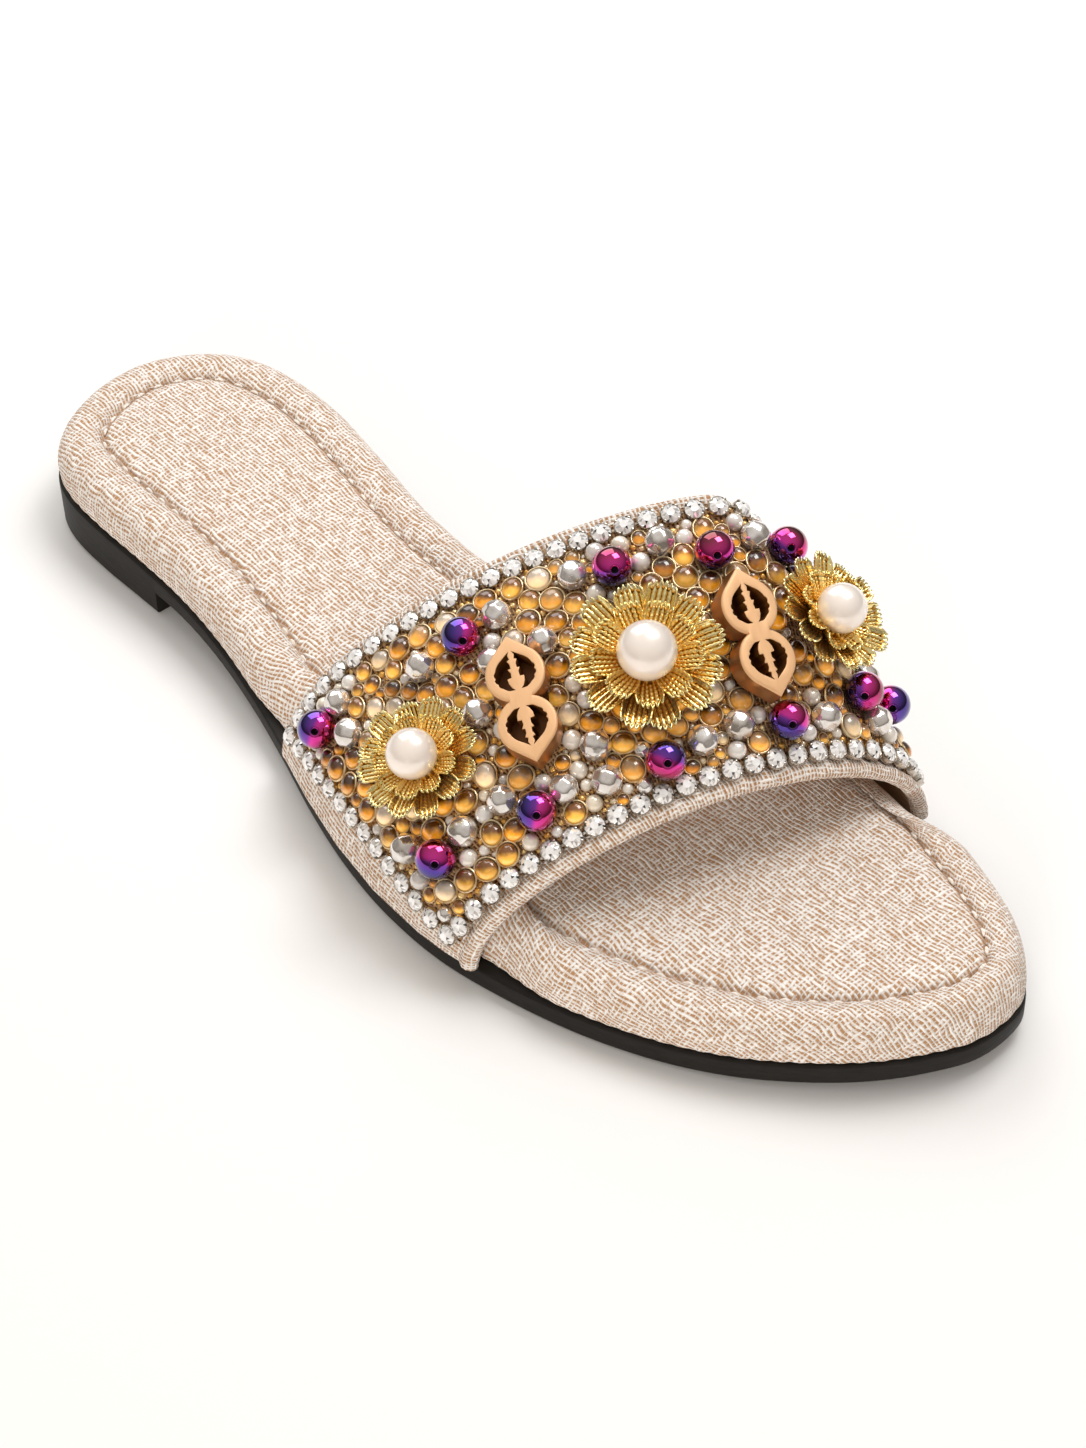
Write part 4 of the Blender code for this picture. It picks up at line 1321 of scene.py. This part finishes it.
def chain_positions():
    """Equally spaced places round the closed path, and the turn at each."""
    corners = list(CHAIN_PATH) + [CHAIN_PATH[0]]
    fine = []
    for (g0, d0), (g1, d1) in zip(corners, corners[1:]):
        fine += [
            (g0 + (g1 - g0) * k / PATH_STEPS, d0 + (d1 - d0) * k / PATH_STEPS) for k in range(PATH_STEPS)
        ]
    fine = np.array(fine + [CHAIN_PATH[0]])
    places = on_strap(fine[:, 0], fine[:, 1], np.zeros(len(fine)))
    run = np.concatenate([[0.0], np.cumsum(np.linalg.norm(np.diff(places, axis=0), axis=1))])
    number = round(run[-1] / CHAIN_PITCH)
    goal = np.arange(number) * run[-1] / number
    girth = np.interp(goal, run, fine[:, 0])
    depth = np.interp(goal, run, fine[:, 1])
    ahead = (goal + LOOK_AHEAD) % run[-1]
    ahead_girth = np.interp(ahead, run, fine[:, 0])
    ahead_depth = np.interp(ahead, run, fine[:, 1])
    flat = np.zeros(number)
    forward = on_strap(ahead_girth, ahead_depth, flat) - on_strap(girth, depth, flat)
    seats = strap_seats(girth, depth, CHAIN_LIFT)
    turn = np.arctan2((forward * seats[:, :3, 1]).sum(axis=1), (forward * seats[:, :3, 0]).sum(axis=1))
    return girth, depth, turn


chain_girth, chain_depth, chain_turn = chain_positions()
STONE_RINGS = (
    # corners, offset, radius, height: the table, the stars, and the girdle's two edges
    (8, 0.0, 0.80, 2.0), (8, 0.5, 1.36, 1.66), (16, 0.0, 1.86, 1.12), (16, 0.0, 1.86, 0.7),
)
TABLE_MIDDLE = 1.92
FACET_SPREAD = 7.3


def rhinestone():
    """A round brilliant: flat table, star and kite facets, and a short girdle."""
    points = [(0, 0, TABLE_MIDDLE)]
    for corners, offset, radius, up in STONE_RINGS:
        for k in range(corners):
            a = 2 * math.pi * (k + offset) / corners
            points.append((radius * math.cos(a), radius * math.sin(a), up))
    faces = [(0, 1 + k, 1 + (k + 1) % 8) for k in range(8)]
    faces += [(1 + k, 9 + k, 1 + (k + 1) % 8) for k in range(8)]
    # each facet takes a painted reflection: 0 bright, 1 grey, 2 dark
    reflection_tones = [0] * 8 + [1, 0, 2, 0, 0, 2, 0, 1]
    for k in range(8):
        middle = 17 + (2 * k) % 16
        faces.append((1 + k, 9 + (k - 1) % 8, middle))
        faces.append((1 + k, middle, 9 + k))
        faces.append((9 + k, middle, 17 + (2 * k + 1) % 16))
        faces.append((9 + k, 17 + (2 * k + 1) % 16, 17 + (2 * k + 2) % 16))
        reflection_tones += [(0, 1, 0, 0), (0, 0, 2, 0), (1, 0, 0, 0), (0, 0, 0, 1)][k % 4]
    faces += ring_faces(17, 33, 16)
    faces.append(tuple(range(33, 49)))
    reflection_tones += [1] * 17
    return np.array(points), faces, reflection_tones


def crystal_facet(name, low, high):
    """Mirror-backed glass with painted reflections: each facet takes a tone between the two colours from the
    way it faces.
    """
    material, start = new_material(name, Metallic=0.25, Coat_Weight=1.0, Coat_Roughness=0.02, Roughness=0.12)
    facing = start.node("VectorMath", {"operation": "SCALE"}, {
        0: start.node("NewGeometry", output="True Normal"), "Scale": FACET_SPREAD})
    painted_glint = start.node("TexWhiteNoise", {"noise_dimensions": "3D"}, {"Vector": facing}, "Value")
    feed(material, Base_Color=painted_glint.blend(low, high))
    return material


crystal = crystal_facet("Crystal facet, painted bright reflection", (0.90, 0.885, 0.87), (1.0, 0.99, 0.98))
grey_facet = crystal_facet("Crystal facet, painted grey reflection", (0.34, 0.32, 0.30), (0.70, 0.68, 0.66))
dark_facet = crystal_facet("Crystal facet, painted dark reflection", (0.02, 0.02, 0.02), (0.16, 0.15, 0.15))
draw = random.Random(8)
spins = np.array([draw.choice((0, 1, 2, 3)) * math.pi / 2 for _ in chain_turn])
stone_seats = strap_seats(chain_girth, chain_depth, CHAIN_LIFT, chain_turn + spins)
facet_tones = [crystal, grey_facet, dark_facet]
stones = repeat("chain_rhinestones", rhinestone(), stone_seats, facet_tones, smooth=False)
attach(stones, "root")

seats = strap_seats(chain_girth, chain_depth, CHAIN_LIFT, chain_turn)
silver, start = new_material("Polished silver", Metallic=1.0)
tarnish = start.grain(500.0)
feed(silver, Base_Color=tarnish.ramp((0.3, (0.34, 0.27, 0.20)), (0.6, (0.80, 0.75, 0.68))),
     Roughness=tarnish * 0.2 + 0.12)
points, faces, _ = turned(CUP_PROFILE, 18)
points = points.tolist()
for k in range(4):
    prong, prong_faces, _ = turned(PRONG_PROFILE, 6)
    angle = math.pi / 4 + k * math.pi / 2
    side, fore = PRONG_CIRCLE * math.cos(angle), PRONG_CIRCLE * math.sin(angle)
    faces += numbered_from(len(points), prong_faces)
    points += [(x + side, y + fore, z) for x, y, z in prong]
link, link_faces, _ = turned(LINK_PROFILE, 6)
faces += numbered_from(len(points), link_faces)
points += [(CHAIN_PITCH / 2 + z, x, y * LINK_FLATNESS + LINK_LIFT) for x, y, z in link]
cups = repeat("chain_cups", (np.array(points), faces, None), seats, [silver])
cups.data.set_sharp_from_angle(angle=math.radians(35))
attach(cups, "root")

# Bead mosaic.  Foil-backed amber cabochons in wire bezels, faceted silver beads,
# small pearls and gilt seed beads, set edge to edge in every gap round the larger
# ornaments.
FILL = (
    # kind, least radius, most radius, most pieces
    ("silver", 2.5, 2.75, 26),
    ("pearl", 1.75, 1.95, 14),
    ("amber", 2.05, 2.35, 120),
    ("pearl", 1.65, 1.9, 16),
    ("amber", 1.75, 2.05, 260),
    ("silver", 1.45, 1.75, 16),
    ("amber", 1.35, 1.75, 300),
    ("pearl", 1.10, 1.35, 40),
    ("amber", 1.00, 1.35, 300),
    ("seed", 0.60, 1.00, 500),
    ("seed", 0.40, 0.60, 600),
)
SILVER_SPACING = 3.4
FLOWER_KEEP_OUT = 0.46
TALL_KEEP_OUT = 0.95
BED_LEVEL = 1.2
CUP_KEEP_OUT = 2.12
BALL_KEEP_OUT = 0.90
FRET_KEEP_OUT = ((5.1, 4.7), (8.4, 3.0), (10.9, 1.0))
BED_GIRTHS = (0.045, 0.955, 620)
BED_DEPTHS = (0.06, 0.94, 250)
UNTAKEN = 9.0
ROOM_TO_SPARE = 0.1
FLOWER_CLEARANCE = 2.0
SNUG_TRIES = 14
SNUG_REACH = 11
CROWD_LIMIT = 4.0
girths = np.linspace(*BED_GIRTHS)
depths = np.linspace(*BED_DEPTHS)
grid_girth, grid_depth = (values.ravel() for values in np.meshgrid(girths, depths))
places = on_strap(grid_girth, grid_depth, np.full(grid_girth.shape, BED_LEVEL))
room = np.full(len(places), UNTAKEN)


def take(centres, radii):
    """Take discs out of the free room."""
    for centre, radius in zip(centres, radii):
        np.minimum(room, np.linalg.norm(places - centre, axis=1) - radius, out=room)


cup_places = on_strap(chain_girth, chain_depth, np.full(len(chain_girth), BED_LEVEL))
take(cup_places, [CUP_KEEP_OUT] * len(cup_places))
inside = grid_girth > np.interp(grid_depth, *zip(*outer_side))
inside &= grid_girth < np.interp(grid_depth, *zip(*inner_side))
inside &= grid_depth > np.interp(grid_girth, *zip(*back_edge))
inside &= grid_depth < np.interp(grid_girth, *zip(*front_edge))
room[~inside] = -1
take([on_strap(g, d, BED_LEVEL) for g, d in BALLS], [BALL_RADIUS * BALL_KEEP_OUT] * len(BALLS))
for _, girth, depth, radius, *_ in FLOWERS:
    take([on_strap(girth, depth, BED_LEVEL)], [radius * FLOWER_KEEP_OUT])
for _, girth, depth, turn, _ in FRETS:
    seat = strap_seats(girth, depth, BED_LEVEL, math.radians(turn))[0]
    for reach, radius in FRET_KEEP_OUT:
        take([seat[:3, 3] + seat[:3, 0] * reach, seat[:3, 3] - seat[:3, 0] * reach], [radius] * 2)


def snug(spots, reach):
    """Of a few random spots, the one with the least free room round it."""
    field = room.reshape(len(depths), len(girths))
    best = None
    for _ in range(SNUG_TRIES):
        spot = spots[draw.randrange(len(spots))]
        j, i = divmod(int(spot), len(girths))
        near = field[max(0, j - reach):j + reach + 1, max(0, i - reach):i + reach + 1]
        crowd = float(np.minimum(near, CROWD_LIMIT).mean())
        if best is None or crowd < best[0]:
            best = (crowd, spot)
    return best[1]


draw = random.Random(3)
beads = []
spaced = np.full(len(places), UNTAKEN)
for _, girth, depth, radius, *_ in FLOWERS:
    away = np.linalg.norm(places - on_strap(girth, depth, BED_LEVEL), axis=1)
    np.minimum(spaced, away - radius * TALL_KEEP_OUT + SILVER_SPACING - FLOWER_CLEARANCE, out=spaced)
for kind, least, most, limit in FILL:
    for _ in range(limit):
        if kind == "silver":
            spots = np.flatnonzero((room >= least) & (spaced > SILVER_SPACING))
        else:
            spots = np.flatnonzero((room >= least) & (room <= most + ROOM_TO_SPARE))
            if len(spots) == 0:
                spots = np.flatnonzero(room >= least)
        if len(spots) == 0:
            break
        if kind == "silver":
            pick = spots[draw.randrange(len(spots))]
        else:
            pick = snug(spots, round(most * SNUG_REACH))
        radius = min(float(room[pick]), most)
        beads.append((kind, float(grid_girth[pick]), float(grid_depth[pick]), radius, draw.random()))
        take([places[pick]], [radius])
        if kind == "silver":
            np.minimum(spaced, np.linalg.norm(places - places[pick], axis=1) - radius, out=spaced)


def beads_of(kind):
    """Girths, depths, radii and tones of the beads of a kind."""
    chosen = [bead for bead in beads if bead[0] == kind]
    return (np.array(values) for values in list(zip(*chosen))[1:])


# Amber cabochons.  Pressed glass domes over gold foil.  The light the foil gathers on
# the far side is painted in as a glow, which also shines as emission, and painted shade
# darkens each rim.  They are glued close together, each turned and stretched a little
# differently.
CABOCHON_GLASS = (
    # share, colour on the side towards the light, painted glow on the far side
    (0.30, (0.10, 0.030, 0.003), (0.95, 0.37, 0.018)),
    (0.26, (0.22, 0.075, 0.008), (1.00, 0.50, 0.065)),
    (0.16, (0.38, 0.22, 0.10), (0.92, 0.40, 0.05)),
    (0.16, (0.05, 0.018, 0.003), (0.58, 0.20, 0.012)),
    (0.12, (0.56, 0.46, 0.36), (0.92, 0.66, 0.38)),
)
CABOCHON_SWELL = 1.06
CABOCHON_STRETCH = (0.92, 1.09)
CABOCHON_LIFTS = (0.7, 1.2)
CABOCHON_SHADES = (0.64, 1.12)
CABOCHON_PROFILE = (
    (0.88, 0.0), (0.92, 0.22), (0.88, 0.44), (0.76, 0.64), (0.58, 0.79), (0.36, 0.88), (0.13, 0.92),
)
# the direction, across each dome, of its side away from the light above, where the painted glow is laid
FAR_SIDE = np.array((-0.46, -0.48, -0.75))
girth, depth, radius, tone = beads_of("amber")
radius = radius * CABOCHON_SWELL
stretch = np.array([draw.uniform(*CABOCHON_STRETCH) for _ in radius])
turns = np.array([draw.uniform(0, math.pi) for _ in radius])
lifts = np.array([draw.uniform(*CABOCHON_LIFTS) for _ in radius])
cabochon_seats = strap_seats(girth, depth, lifts, turns, radius * stretch, radius / stretch, radius)
points, faces, _ = turned(CABOCHON_PROFILE, 18)
reach = np.hypot(points[:, 0], points[:, 1])
shares = np.cumsum([share for share, _, _ in CABOCHON_GLASS])
near_tints, far_glows = [], []
for value in tone:
    _, heart, skirt = CABOCHON_GLASS[int(np.searchsorted(shares, value * shares[-1]))]
    shade = draw.uniform(*CABOCHON_SHADES)
    near_tints.append([shade * channel for channel in heart])
    far_glows.append([shade * channel for channel in skirt])
outwards = cabochon_seats[:, :3, 2] / np.linalg.norm(cabochon_seats[:, :3, 2], axis=1, keepdims=True)
far = FAR_SIDE - outwards * (outwards @ FAR_SIDE)[:, None]
far /= np.linalg.norm(far, axis=1, keepdims=True)
offsets = np.einsum("sij,pj->spi", cabochon_seats[:, :3, :3], points * (1, 1, 0)) / radius[:, None, None]
glow = np.einsum("spi,si->sp", offsets, far).ravel()
# emission makes the painted glow shine, though the glass is no lamp
honey, start = new_material("Foiled amber glass, painted glow", Coat_Weight=1.0, Coat_Roughness=0.04, Coat_IOR=1.85,
                            Specular_IOR_Level=0.1, Emission_Strength=0.44)
swirl = start.grain(650.0)
around = start.attribute("glow") + (swirl - 0.5) * 0.8
# painted light: darker towards the light, glowing on the far side
painted_light_level = around.ease(-0.25, 0.60)
glass = painted_light_level.blend(start.attribute("heart", "Color"), start.attribute("skirt", "Color"))
# a painted caustic highlight near the far edge
glass = (around.ease(0.45, 0.85) * 0.5).blend(glass, (1.0, 0.76, 0.30))
# a painted dark ring round the rim: painted shade against the bezel
feed(honey, Base_Color=start.attribute("reach").ease(0.77, 0.92).blend(glass, (0.050, 0.018, 0.004)),
     Roughness=swirl * 0.2 + 0.25, Metallic=0.2 - painted_light_level * 0.15,
     Emission_Color=painted_light_level.blend((0.0, 0.0, 0.0), start.attribute("skirt", "Color")))
cabochons = repeat("amber_cabochons", (points, faces, None), cabochon_seats, [honey], {"reach": reach},
                   {"heart": near_tints, "skirt": far_glows}, {"glow": glow})
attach(cabochons, "root")

# Bezels.  A ring of pale gilt wire round each cabochon, pressed against the glass.
# It hides the edge of the foil and holds the dome down.
points, faces, _ = wire_ring(0.99, 0.34, 0.085, 0.12, 6, 18)
bezel_gilt, start = new_material("Pale gilt wire", Metallic=0.8)
wear = start.grain(600.0)
feed(bezel_gilt, Base_Color=wear.ramp((0.3, (0.62, 0.35, 0.13)), (0.6, (0.96, 0.78, 0.50))),
     Roughness=wear * 0.2 + 0.2)
bezels = repeat("cabochon_bezels", (points, faces, None), cabochon_seats, [bezel_gilt])
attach(bezels, "root")

# Faceted silver beads.  Round glass beads ground with large flat facets, under a
# champagne mirror coat, and sewn down at odd angles.
FACET_REACH = 0.935
BEAD_TILT = 0.4
SILVER_SWELL = 1.08
SILVER_LIFT = 0.85
girth, depth, radius, _ = beads_of("silver")
radius = radius * SILVER_SWELL
steps = (-1.0, 0.0, 1.0)
facings = np.array([(x, y, z) for x in steps for y in steps for z in steps if x or y or z])
facings /= np.linalg.norm(facings, axis=1, keepdims=True)
bm = bmesh.new()
bmesh.ops.create_icosphere(bm, subdivisions=4, radius=1.0)
ball = np.array([vert.co[:] for vert in bm.verts])
ball /= np.linalg.norm(ball, axis=1, keepdims=True)
ball *= np.minimum(1.0, FACET_REACH / (ball @ facings.T).max(axis=1))[:, None]
faceted = (ball, [tuple(vert.index for vert in face.verts) for face in bm.faces], None)
bm.free()
turns = np.array([draw.uniform(0, math.pi) for _ in radius])
seats = strap_seats(girth, depth, radius * SILVER_LIFT, turns)
for seat, size in zip(seats, radius):
    axis = Vector((draw.uniform(-1, 1), draw.uniform(-1, 1), 0)).normalized()
    tilt = Matrix.Rotation(draw.uniform(-BEAD_TILT, BEAD_TILT), 3, axis)
    seat[:3, :3] = seat[:3, :3] @ np.array(tilt) * size
cut_silver, start = new_material(
    "Champagne silver mirror", Metallic=0.85, Coat_Weight=0.5, Coat_Roughness=0.03,
)
smoke = start.grain(260.0)
feed(cut_silver, Base_Color=smoke.ramp((0.3, (0.66, 0.60, 0.54)), (0.6, (0.93, 0.90, 0.87))),
     Roughness=smoke * 0.1 + 0.12)
silver_beads = repeat("faceted_silver_beads", faceted, seats, [cut_silver])
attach(silver_beads, "root")

# Small pearls.  Cream and grey glass pearls, sewn down one by one in the gaps
# between the cabochons.
SMALL_PEARL_LIFT = 0.75
girth, depth, radius, tone = beads_of("pearl")
small_pearl, start = new_material("Small pearl lustre", Coat_Weight=1.0, Coat_Roughness=0.05, Metallic=0.3)
feed(small_pearl, Base_Color=start.attribute("tone").ramp(
    (0.0, (0.62, 0.57, 0.53)), (0.5, (0.84, 0.80, 0.76)), (1.0, (0.94, 0.83, 0.66))),
    Roughness=start.attribute("tone") * 0.1 + 0.16)
seats = strap_seats(girth, depth, radius * SMALL_PEARL_LIFT, 0.0, radius, radius, radius)
small_pearls = repeat("small_pearls", ball_shape(0.1, 10, 16), seats, [small_pearl], None, {"tone": tone})
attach(small_pearls, "root")

# Gilt seed beads.  Tiny round glass beads with a gilt finish, a little flattened,
# sewn down in the last gaps so that little of the net shows.
SEED_FLATNESS = 0.85
SEED_LIFT = 0.8
SEED_BED = 0.35
girth, depth, radius, tone = beads_of("seed")
seed_gilt, start = new_material("Gilt seed beads", Metallic=0.6, Coat_Weight=0.8, Coat_Roughness=0.05)
feed(seed_gilt, Base_Color=start.attribute("tone").ramp(
    (0.0, (0.48, 0.22, 0.04)), (0.35, (0.95, 0.52, 0.10)), (0.7, (1.0, 0.74, 0.34)),
    (1.0, (0.86, 0.80, 0.72))),
    Roughness=start.attribute("tone") * 0.15 + 0.14)
seats = strap_seats(girth, depth, radius * SEED_LIFT + SEED_BED, 0.0, radius, radius, radius)
seed = ball_shape(0.25, 6, 10, SEED_FLATNESS)
seeds = repeat("gilt_seed_beads", seed, seats, [seed_gilt], None, {"tone": tone})
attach(seeds, "root")
